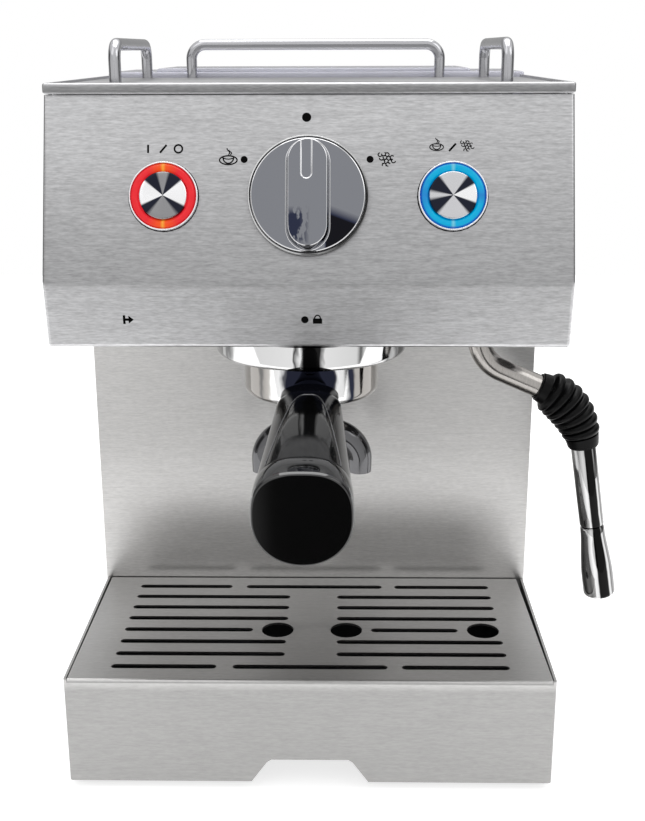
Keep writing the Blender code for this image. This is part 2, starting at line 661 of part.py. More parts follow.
def steam_wand():
    axis = pivot("wand_axis", (WAND_X, WAND_Y, HEAD_BOTTOM))
    corners = [wand_point(*place) for place in ((WAND_X, 0.2320), WAND_ELBOW, WAND_KNEE, WAND_TIP)]
    route = rounded_path(corners, (ELBOW_CURVE, KNEE_CURVE), 8)
    total = sum((b - a).length for a, b in zip(route, route[1:]))
    to_tip = (Vector(corners[3]) - Vector(corners[2])).normalized()
    grip_end = wand_point(*WAND_KNEE) + to_tip * 0.0228
    pipe_length = total - (corners[3] - grip_end).length - 0.004
    rod("wand_pipe", path_between(route, 0.0, pipe_length, 24), WAND_RADIUS, "brushed_steel", axis)

    grip_start, grip_stop, count = pipe_length - 0.0375, pipe_length + 0.0037, 15
    path = path_between(route, grip_start, grip_stop, count)
    outer = []
    for i in range(count):
        t = i / (count - 1)
        belly = 0.0070 + 0.0038 * math.sin(math.pi * t ** 0.7) + 0.0007 * t
        outer.append(belly + (0.0004 if i % 2 else -0.0004) * (0 < i < count - 1))
    bore = [WAND_RADIUS + GAP] * count
    side = Vector((0.0, 1.0, 0.0))
    rings = tube_rings(path, outer, side) + list(reversed(tube_rings(path, bore, side)))
    add_part("wand_bellows", rings_mesh("wand_bellows", rings, closed_loop=True), "rubber", axis)

    tilt = math.atan2(to_tip.x, -to_tip.z)
    lower = pivot("nozzle_axis", wand_point(*WAND_TIP), (0.0, -tilt, 0.0))
    top = (corners[3] - grip_end).length
    split = 0.0395
    tube = [(0.0, top + 0.0034), (0.0053, top + 0.0034), (0.0053, top + 0.0008), (0.0034, top - 0.001),
            (0.0034, 0.0120), (0.0, 0.0120)]
    turned("wand_tip_tube", tube, "brushed_steel", lower, local=True, segments=16)
    sleeve = [(0.0060, top), (0.00625, top - 0.0004), (0.00625, split + 0.0006),
              (0.0058, split + 0.0003), (0.0038, split + 0.0003), (0.0038, top - 0.0016)]
    turned("wand_sleeve", sleeve, "chrome", lower, local=True, closed=True, segments=24)
    nozzle = [(0.0058, split), (0.0062, split - 0.001), (0.0063, 0.0330), (0.0076, 0.0200),
              (0.0081, 0.0120), (0.0081, 0.0035), (0.0074, 0.0012), (0.0058, 0.0), (0.0012, 0.0),
              (0.0012, 0.0100), (0.0042, 0.0117), (0.0042, split)]
    turned("frothing_nozzle", nozzle, "chrome", lower, local=True, closed=True, segments=28)
    turned("wand_swivel_nut", [(0.0105, 0.2170), (0.0110, 0.2160), (0.0100, 0.2136),
                               (WAND_RADIUS + GAP, 0.2136), (WAND_RADIUS + GAP, 0.2170)],
           "chrome", None, closed=True, segments=24, axis=(WAND_X, WAND_Y))


# ---- water tank ----
def water_tank():
    wall, side = 0.0025, 0.1115
    outside = box_mesh("water_tank", ((-side, TANK_FRONT, TANK_FLOOR), (side, TANK_BACK, 0.3285)))
    obj = add_part("water_tank", outside, "tank_plastic")
    bevel(obj, 0.004, 2)
    inside = box_mesh("tank_inside", ((-side + wall, TANK_FRONT + wall, TANK_FLOOR + wall),
                                      (side - wall, TANK_BACK - wall, 0.3400)))
    boolean(obj, add_cutter("tank_inside", inside, obj))
    turned("tank_valve", [(0.0, 0.1200), (0.0050, 0.1200), (0.0080, 0.1160), (0.0080, 0.1088),
                          (0.0, 0.1088)], "black_plastic", None, segments=16, axis=(0.0, 0.255))


def tank_lid():
    axis = pivot("tank_lid_axis", (0.0, 0.2994, 0.3302))
    low = PANEL_TOP[1] + 0.0004
    plate = box_mesh("tank_lid", ((-HALF_WIDTH, LID_REAR + 0.0005, low), (HALF_WIDTH, 0.3000, 0.3362)))
    obj = add_part("tank_lid", plate, "tank_plastic", axis)
    bevel(obj, 0.0012, 2)
    hollow = box_mesh("tank_lid_hollow", ((-0.1170, 0.2085, 0.3200), (0.1170, 0.2970, 0.3340)))
    boolean(obj, add_cutter("tank_lid_hollow", hollow, obj))
    raised = box_mesh("tank_lid_crown", ((-0.0930, 0.2075, 0.3350), (0.0900, 0.2930, 0.3382)))
    crown = add_cutter("tank_lid_crown", raised, obj)
    bevel(crown, 0.0016, 2)
    boolean(obj, crown, "UNION")


# ---- drip tray ----
def drip_pan():
    wall, side, front, rear = 0.0020, 0.1140, 0.0030, 0.1182
    axis = pivot("drawer_axis", (0.0, 0.0, PAN_FLOOR))
    obj = add_part("drip_pan", box_mesh("drip_pan", ((-side, front, PAN_FLOOR), (side, rear, 0.0542))),
                   "black_plastic", axis)
    bevel(obj, 0.0020, 2)
    inside = box_mesh("pan_inside", ((-side + wall, front + wall, PAN_FLOOR + wall),
                                     (side - wall, rear - wall, 0.0700)))
    boolean(obj, add_cutter("pan_inside", inside, obj))


def drip_tray_cover():
    """A sheet folded at the front: slotted top, front with a finger notch, side flanges."""
    axis = pivot("cover_axis", (0.0, 0.0, TRAY_TOP))
    relief = TRAY_HALF - 0.0017
    bm = bmesh.new()
    top_line = [bm.verts.new((x, 0.0, TRAY_TOP)) for x in (-TRAY_HALF, -relief, relief, TRAY_HALF)]
    low_line = [bm.verts.new((x, 0.0, 0.0)) for x in (TRAY_HALF, -TRAY_HALF)]
    top_rear = [bm.verts.new((x, TRAY_REAR - 0.0005, TRAY_TOP)) for x in (-0.1173, 0.1160)]
    bm.faces.new(top_line + low_line)
    bm.faces.new((top_line[1], top_line[2], top_rear[1], top_rear[0]))
    for corner, foot in ((top_line[0], low_line[1]), (top_line[3], low_line[0])):
        x = corner.co.x
        back = [bm.verts.new((x, TRAY_REAR, z)) for z in (TRAY_TOP, 0.0)]
        bm.faces.new((corner, back[0], back[1], foot))
    bmesh.ops.recalc_face_normals(bm, faces=bm.faces)
    bm.faces.ensure_lookup_table()
    if bm.faces[0].normal.y > 0:
        bmesh.ops.reverse_faces(bm, faces=bm.faces)
    obj = add_part("drip_tray_cover", to_mesh(bm, "drip_tray_cover"), "brushed_steel", axis)
    bevel(obj, 0.0016, 3)
    thicken(obj)
    boolean(obj, add_cutter("drain_slots", slot_mesh(), obj))
    notch = bmesh.new()
    outline = [(-0.0315, -0.002), (-0.0295, 0.0), (-0.0290, 0.0), (-0.0212, 0.0110), (-0.0190, 0.0124),
               (0.0190, 0.0124), (0.0212, 0.0110), (0.0290, 0.0), (0.0295, 0.0), (0.0315, -0.002)]
    face = notch.faces.new([notch.verts.new((x, -0.005, z)) for x, z in outline])
    grown = bmesh.ops.extrude_face_region(notch, geom=[face])
    moved = [item for item in grown["geom"] if isinstance(item, bmesh.types.BMVert)]
    bmesh.ops.translate(notch, verts=moved, vec=(0.0, 0.012, 0.0))
    bmesh.ops.recalc_face_normals(notch, faces=notch.faces)
    boolean(obj, add_cutter("finger_notch", to_mesh(notch, "finger_notch"), obj))


def slot_mesh():
    """All drain slots and holes of the tray cover."""
    first_row, pitch, radius, end, inner = 0.0139, 0.01319, 0.0021, 0.0966, 0.0151
    split_row = [(-end, -0.0485), (-0.0363, 0.0363), (0.0475, end)]
    halves = [(-end, -inner), (inner, end)]
    hole_row = [(-end, -0.0331), (0.0331, 0.0745)]
    rows = [split_row, halves, halves, hole_row, halves, halves, halves, split_row]
    bm = bmesh.new()
    for number, row in enumerate(rows):
        for ends in row:
            put_slot(bm, ends, first_row + pitch * number, radius, 0.050, 0.060)
    for x in (-0.018, 0.018, 0.0898):
        put_disc(bm, (x, first_row + 3 * pitch), 0.0084, 0.050, 0.060, 20)
    return to_mesh(bm, "drain_slots")


clear_scene()
PARTS = new_collection("espresso_machine")
CUTTERS = new_collection("cutters")
FRAME = bpy.data.objects.new("machine_frame", None)
PARTS.objects.link(FRAME)
FRAME.location = ((REACH_LEFT - REACH_RIGHT) / 2, (REACH_FRONT - REACH_BACK) / 2, FOOT_HEIGHT)
SLOPE = (math.pi / 2 - PANEL_TILT, 0.0, 0.0)
KNOB_AXIS = pivot("knob_axis", panel_point(0.0), SLOPE)
POWER_AXIS = pivot("power_axis", panel_point(-BUTTON_X), SLOPE)
MODE_AXIS = pivot("mode_axis", panel_point(BUTTON_X), SLOPE)

base_plate()
feet()
side_panel("side_panel_left", -1)
side_panel("side_panel_right", 1)
control_panel()
top_lid()
cup_rails()
column_panel()
head_floor()
rear_panel()
cord_gland()
tank_bay()
brew_group()
water_works()
steam_valve()
selector()
push_button("power", POWER_AXIS, "red_light")
push_button("mode", MODE_AXIS, "blue_light")
portafilter()
steam_wand()
water_tank()
tank_lid()
drip_pan()
drip_tray_cover()
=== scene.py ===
"""Looks of the compact espresso machine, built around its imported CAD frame.

Places are in metres. at(x, y, z) takes machine coordinates: X = 0 on the mid-plane,
Y = 0 at the drip tray's front face and Z = 0 at its lower edge, -Y being the front.
"""
import math

import bmesh
import bpy
from mathutils import Matrix, Vector


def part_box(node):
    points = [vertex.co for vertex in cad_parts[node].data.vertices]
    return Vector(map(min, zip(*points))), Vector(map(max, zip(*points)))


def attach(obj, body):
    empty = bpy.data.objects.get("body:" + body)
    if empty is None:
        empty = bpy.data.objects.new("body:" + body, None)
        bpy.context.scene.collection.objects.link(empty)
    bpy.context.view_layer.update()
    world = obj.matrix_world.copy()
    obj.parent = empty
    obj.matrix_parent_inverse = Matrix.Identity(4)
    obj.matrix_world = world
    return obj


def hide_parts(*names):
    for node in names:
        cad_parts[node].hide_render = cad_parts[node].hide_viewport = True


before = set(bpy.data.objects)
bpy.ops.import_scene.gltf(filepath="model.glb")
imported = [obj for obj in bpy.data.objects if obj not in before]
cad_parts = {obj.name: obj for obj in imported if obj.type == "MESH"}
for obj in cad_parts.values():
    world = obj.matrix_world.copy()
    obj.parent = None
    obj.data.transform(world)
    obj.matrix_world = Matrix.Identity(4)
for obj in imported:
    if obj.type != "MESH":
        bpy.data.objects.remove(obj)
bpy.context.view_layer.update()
TRAY_LOW, TRAY_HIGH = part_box("drip_tray_cover")
ORIGIN = Vector(((TRAY_LOW.x + TRAY_HIGH.x) / 2, TRAY_LOW.y, TRAY_LOW.z))

# ---- dimensions shared with the CAD model, in metres ----
GROUP_Y = 0.070
CUP_RADIUS = 0.03385
COLLAR_RADIUS = 0.0475
PANEL_BEND = (0.0182, 0.2476)
PANEL_TOP = (0.0449, 0.3290)
PANEL_FOOT = (0.0222, 0.2165)
PANEL_TILT = math.atan2(PANEL_TOP[0] - PANEL_BEND[0], PANEL_TOP[1] - PANEL_BEND[1])
KNOB_UP = 0.0392
BUTTON_X = 0.0655
HANDLE_START = (0.0350, 0.1876)
HANDLE_END = (-0.0800, 0.1720)
WAND_X, WAND_Y = 0.083, 0.060
WAND_ELBOW = (0.083, 0.2010)
WAND_KNEE = (0.1339, 0.1787)
WAND_TIP = (0.1509, 0.0746)
RAIL_TOP, RAIL_RADIUS = 0.3513, 0.003

# ---- dimensions of the looks ----
KNOB_FACE_WIDTH = 0.052
GLOW_INNER_RADIUS, GLOW_WIDTH = 0.0112, 0.0035
PRINT_THICKNESS = 0.00006
STREAK_GAIN = 1.66              # makes up for what the painted light and shade of the height ramp takes off


def at(x, y, z):
    """Machine coordinates to the frame's."""
    return ORIGIN + Vector((x, y, z))


# ---- camera ----
def add_camera():
    """Views the machine from the front, a little above the lid."""
    yaw, pitch, roll = 0.017, 0.293, -0.003
    ahead = Vector((-math.sin(yaw) * math.cos(pitch), math.cos(yaw) * math.cos(pitch), -math.sin(pitch)))
    right = Vector((math.cos(yaw), math.sin(yaw), 0.0))
    up = right.cross(ahead)
    right, up = (right * math.cos(roll) + up * math.sin(roll), up * math.cos(roll) - right * math.sin(roll))
    data = bpy.data.cameras.new("camera")
    data.sensor_width = 36.0
    data.lens = 52.55
    data.clip_start = 0.01
    camera = bpy.data.objects.new("camera", data)
    bpy.context.scene.collection.objects.link(camera)
    turn = Matrix((right, up, -ahead)).transposed().to_4x4()
    camera.matrix_world = Matrix.Translation(at(0.0156, -0.5170, 0.3488)) @ turn
    bpy.context.scene.camera = camera


# ---- material nodes ----
class Shader:
    """A small helper around one material's node tree."""

    def __init__(self, name, colour, metallic=0.0, roughness=0.5, **inputs):
        self.material = bpy.data.materials.new(name)
        self.material.use_nodes = True
        self.tree = self.material.node_tree
        self.shader = self.tree.nodes["Principled BSDF"]
        self.set("Base Color", (*colour, 1.0))
        self.set("Metallic", metallic)
        self.set("Roughness", roughness)
        for key, value in inputs.items():
            self.set(key.replace("_", " "), value)

    def set(self, key, value):
        self.shader.inputs[key].default_value = value

    def node(self, kind, **values):
        made = self.tree.nodes.new(kind)
        for key, value in values.items():
            if key in made.inputs:
                made.inputs[key].default_value = value
            else:
                setattr(made, key, value)
        return made

    def link(self, source, target):
        self.tree.links.new(source, target)

    def noise(self, scale, detail=2.0, rough=0.5, coords="Object"):
        """Noise stretched by a scale for each axis."""
        place = self.node("ShaderNodeTexCoord")
        mapping = self.node("ShaderNodeMapping")
        mapping.inputs["Scale"].default_value = scale
        noise = self.node("ShaderNodeTexNoise", Scale=1.0, Detail=detail, Roughness=rough)
        self.link(place.outputs[coords], mapping.inputs["Vector"])
        self.link(mapping.outputs["Vector"], noise.inputs["Vector"])
        return noise.outputs["Fac"]

    def ramp(self, source, stops):
        """A colour ramp; stops are (position, colour or grey)."""
        ramp = self.node("ShaderNodeValToRGB")
        points = ramp.color_ramp.elements
        while len(points) < len(stops):
            points.new(0.5)
        for point, (place, value) in zip(points, stops):
            point.position = place
            point.color = (*value, 1.0) if isinstance(value, tuple) else (value, value, value, 1.0)
        self.link(source, ramp.inputs["Fac"])
        return ramp.outputs["Color"]

    def blend(self, first, second, amount, mode="MULTIPLY"):
        mix = self.node("ShaderNodeMix", data_type="RGBA", blend_type=mode)
        mix.inputs[0].default_value = amount
        self.link(first, mix.inputs[6])
        self.link(second, mix.inputs[7])
        return mix.outputs[2]

    def maths(self, operation, first, second=None):
        made = self.node("ShaderNodeMath", operation=operation)
        for slot, value in zip(made.inputs, (first, second)):
            if isinstance(value, (int, float)):
                slot.default_value = value
            elif value is not None:
                self.link(value, slot)
        return made.outputs[0]

    def bump(self, height, strength, distance):
        made = self.node("ShaderNodeBump", Strength=strength, Distance=distance)
        self.link(height, made.inputs["Height"])
        self.link(made.outputs["Normal"], self.shader.inputs["Normal"])

    def to(self, source, key):
        self.link(source, self.shader.inputs[key])


def brushed(name, colour, roughness=0.34, contrast=0.10, grain=(240.0, 2600.0, 2600.0)):
    """Sheet steel brushed along X: short fine streaks over longer, fainter ones and broad clouds."""
    steel = Shader(name, colour, 1.0, roughness, Anisotropic=0.45)
    short = steel.noise(grain, 2.0, 0.6)
    long = steel.noise((45.0, grain[1] * 0.55, grain[2] * 0.55), 2.0, 0.5)
    streaks = steel.maths("ADD", steel.maths("MULTIPLY", short, 0.6), steel.maths("MULTIPLY", long, 0.4))
    clouds = steel.noise((7.0, 22.0, 22.0), 2.0, 0.5)
    low = tuple(c * (1.0 - contrast) for c in colour)
    high = tuple(min(1.0, c * (1.0 + contrast)) for c in colour)
    tone = steel.ramp(streaks, [(0.34, low), (0.66, high)])
    shade = steel.ramp(clouds, [(0.25, 0.95), (0.75, 1.0)])
    steel.to(steel.blend(tone, shade, 1.0), "Base Color")
    steel.to(steel.ramp(streaks, [(0.3, roughness + 0.05), (0.7, roughness - 0.04)]), "Roughness")
    steel.bump(streaks, 0.12, 0.000008)
    return steel.material


def height_shaded_steel(name, colour, roughness, levels, contrast=0.19):
    """Brushed steel with painted light and shade: its brightness changes with height."""
    steel = Shader(name, colour, 1.0, roughness, Anisotropic=0.45)
    split = steel.node("ShaderNodeSeparateXYZ")
    steel.link(steel.node("ShaderNodeTexCoord").outputs["Generated"], split.inputs[0])
    # Painted light and shade: this ramp over the sheet's height makes it brighter or darker in bands.
    height = steel.ramp(split.outputs["Z"], levels)
    fine = steel.maths("MULTIPLY", steel.noise((260.0, 1500.0, 1500.0), 2.0, 0.6), 0.65)
    wide = steel.maths("MULTIPLY", steel.noise((60.0, 700.0, 700.0), 2.0, 0.5), 0.35)
    low, high = (tuple(c * STREAK_GAIN * share for c in colour) for share in (1 - contrast, 1 + contrast))
    streaks = steel.ramp(steel.maths("ADD", fine, wide), [(0.34, low), (0.66, high)])
    steel.to(steel.blend(streaks, height, 1.0), "Base Color")
    return steel.material


def polished(name, colour, roughness=0.05, ripple=0.00001):
    """Chrome plate with faint ripples and handling smears."""
    chrome = Shader(name, colour, 1.0, roughness)
    smears = chrome.noise((45.0, 45.0, 60.0), 4.0, 0.6)
    chrome.to(chrome.ramp(smears, [(0.35, roughness * 0.6), (0.75, roughness * 2.2)]), "Roughness")
    chrome.bump(chrome.noise((120.0, 120.0, 120.0), 2.0), 0.12, ripple)
    return chrome.material


def drawn_tube(name, colour, roughness, grain=(900.0, 900.0, 60.0)):
    """Steel with fine lines along the local Z."""
    steel = Shader(name, colour, 1.0, roughness)
    lines = steel.noise(grain, 2.0, 0.6)
    low = tuple(c * 0.86 for c in colour)
    steel.to(steel.ramp(lines, [(0.3, low), (0.7, colour)]), "Base Color")
    steel.to(steel.ramp(lines, [(0.2, roughness * 1.35), (0.8, roughness * 0.8)]), "Roughness")
    steel.bump(lines, 0.2, 0.00001)
    return steel.material


def moulded(name, colour, roughness, grain=900.0, depth=0.00003, shine=0.5):
    """Moulded plastic or rubber with a fine skin texture."""
    plastic = Shader(name, colour, 0.0, roughness, Specular_IOR_Level=shine)
    skin = plastic.noise((grain, grain, grain), 3.0, 0.6)
    wide = plastic.noise((25.0, 25.0, 25.0), 3.0, 0.6)
    low = tuple(c * 0.8 for c in colour)
    plastic.to(plastic.ramp(wide, [(0.3, low), (0.7, colour)]), "Base Color")
    plastic.to(plastic.ramp(wide, [(0.3, roughness * 0.85), (0.7, roughness * 1.2)]), "Roughness")
    plastic.bump(skin, 0.25, depth)
    return plastic.material


def polar(shader):
    """Radius and angle (0 to 1, from local +X) about the local Z axis."""
    split = shader.node("ShaderNodeSeparateXYZ")
    place = shader.node("ShaderNodeTexCoord")
    shader.link(place.outputs["Object"], split.inputs[0])
    x, y = split.outputs["X"], split.outputs["Y"]
    square = shader.maths("ADD", shader.maths("MULTIPLY", x, x), shader.maths("MULTIPLY", y, y))
    angle = shader.maths("ARCTAN2", y, x)
    turns = shader.maths("ADD", shader.maths("DIVIDE", angle, 2 * math.pi), 0.5)
    return shader.maths("SQRT", square), turns


def spun(name, painted_reflection_wedges):
    """A face turned on a lathe: fine rings, with a painted fan of light and dark wedges, which are painted
    highlights and painted dark reflections.
    """
    steel = Shader(name, (0.85, 0.85, 0.85), 1.0, 0.24, Anisotropic=0.7)
    radius, turns = polar(steel)
    # Painted reflections: wedge colours fixed to the angle around the cap.
    steel.to(steel.ramp(turns, painted_reflection_wedges), "Base Color")
    rings = steel.node("ShaderNodeTexNoise", noise_dimensions="1D", Scale=9000.0, Detail=2.0)
    steel.link(radius, rings.inputs["W"])
    steel.bump(rings.outputs["Fac"], 0.3, 0.00001)
    tangent = steel.node("ShaderNodeTangent", direction_type="RADIAL", axis="Z")
    steel.to(tangent.outputs["Tangent"], "Tangent")
    return steel.material


def banded(name, around, roughness=0.06):
    """Chrome on a turned piece, with wavy light and dark bands painted around its axis: painted
    reflections.
    """
    chrome = Shader(name, (0.8, 0.8, 0.8), 1.0, roughness)
    turns = polar(chrome)[1]
    waves = chrome.noise((160.0, 160.0, 70.0), 2.0, 0.5)
    shift = chrome.maths("MULTIPLY", chrome.maths("SUBTRACT", waves, 0.5), 0.03)
    # Painted reflections: light and dark bands fixed to the angle around the piece.
    chrome.to(chrome.ramp(chrome.maths("ADD", turns, shift), around), "Base Color")
    smears = chrome.noise((45.0, 45.0, 60.0), 4.0, 0.6)
    chrome.to(chrome.ramp(smears, [(0.35, roughness * 0.6), (0.75, roughness * 2.0)]), "Roughness")
    return chrome.material


def smoked(name, colour, roughness, reflection_patch, cover, reflection_up, reflection_across):
    """Dark chrome with a painted dark reflection patch, hidden where the cover is white, and further
    painted dark reflections broken up by noise spots.
    """
    chrome = Shader(name, colour, 1.0, roughness)
    split = chrome.node("ShaderNodeSeparateXYZ")
    chrome.link(chrome.node("ShaderNodeTexCoord").outputs["Object"], split.inputs[0])
    across = chrome.maths("ADD", chrome.maths("DIVIDE", split.outputs["X"], KNOB_FACE_WIDTH), 0.5)
    upward = chrome.maths("ADD", chrome.maths("DIVIDE", split.outputs["Y"], KNOB_FACE_WIDTH), 0.5)
    slanted = chrome.maths("ADD", upward, chrome.maths("MULTIPLY", across, 0.38))
    # Painted reflection: the dark patch on the face.
    shade = chrome.maths("MAXIMUM", chrome.ramp(slanted, reflection_patch), chrome.ramp(across, cover))
    spots = chrome.ramp(chrome.noise((230.0, 110.0, 100.0), 3.0, 0.6), [(0.47, 1.0), (0.53, 0.0)])
    # Painted reflections on the grip bar, mottled by the noise spots.
    outside_reflection = chrome.maths("MAXIMUM", chrome.ramp(upward, reflection_up), chrome.ramp(across, reflection_across))
    outside_reflection = chrome.maths("MAXIMUM", chrome.maths("MAXIMUM", outside_reflection, spots), 0.14)
    tone = chrome.ramp(chrome.maths("MULTIPLY", shade, outside_reflection),
                       [(0.0, (0.010, 0.010, 0.013)), (0.15, (0.030, 0.035, 0.065)), (1.0, colour)])
    chrome.to(tone, "Base Color")
    return chrome.material


def lit_ring(name, around, across, strength):
    """Translucent plastic lit from behind: colour changes around the ring and towards its edges."""
    ring = Shader(name, (0.5, 0.5, 0.5), 0.0, 0.22, Specular_IOR_Level=0.2)
    radius, turns = polar(ring)
    span = ring.maths("DIVIDE", ring.maths("SUBTRACT", radius, GLOW_INNER_RADIUS), GLOW_WIDTH)
    glow = ring.blend(ring.ramp(turns, around), ring.ramp(span, across), 1.0)
    haze = ring.ramp(ring.noise((400.0, 400.0, 400.0), 2.0), [(0.3, 0.92), (0.7, 1.0)])
    glow = ring.blend(glow, haze, 1.0)
    ring.to(ring.blend(glow, ring.ramp(radius, [(0.0, 0.20), (1.0, 0.20)]), 1.0), "Base Color")
    ring.to(glow, "Emission Color")
    ring.set("Emission Strength", strength)
    return ring.material


def tinted(name, colour, roughness, transmission):
    """Clear tinted plastic."""
    plastic = Shader(name, colour, 0.0, roughness, Transmission_Weight=transmission, IOR=1.49)
    clouds = plastic.noise((20.0, 20.0, 20.0), 2.0)
    low = tuple(c * 0.92 for c in colour)
    plastic.to(plastic.ramp(clouds, [(0.3, low), (0.7, colour)]), "Base Color")
    plastic.bump(plastic.noise((300.0, 300.0, 300.0), 2.0), 0.05, 0.00002)
    return plastic.material


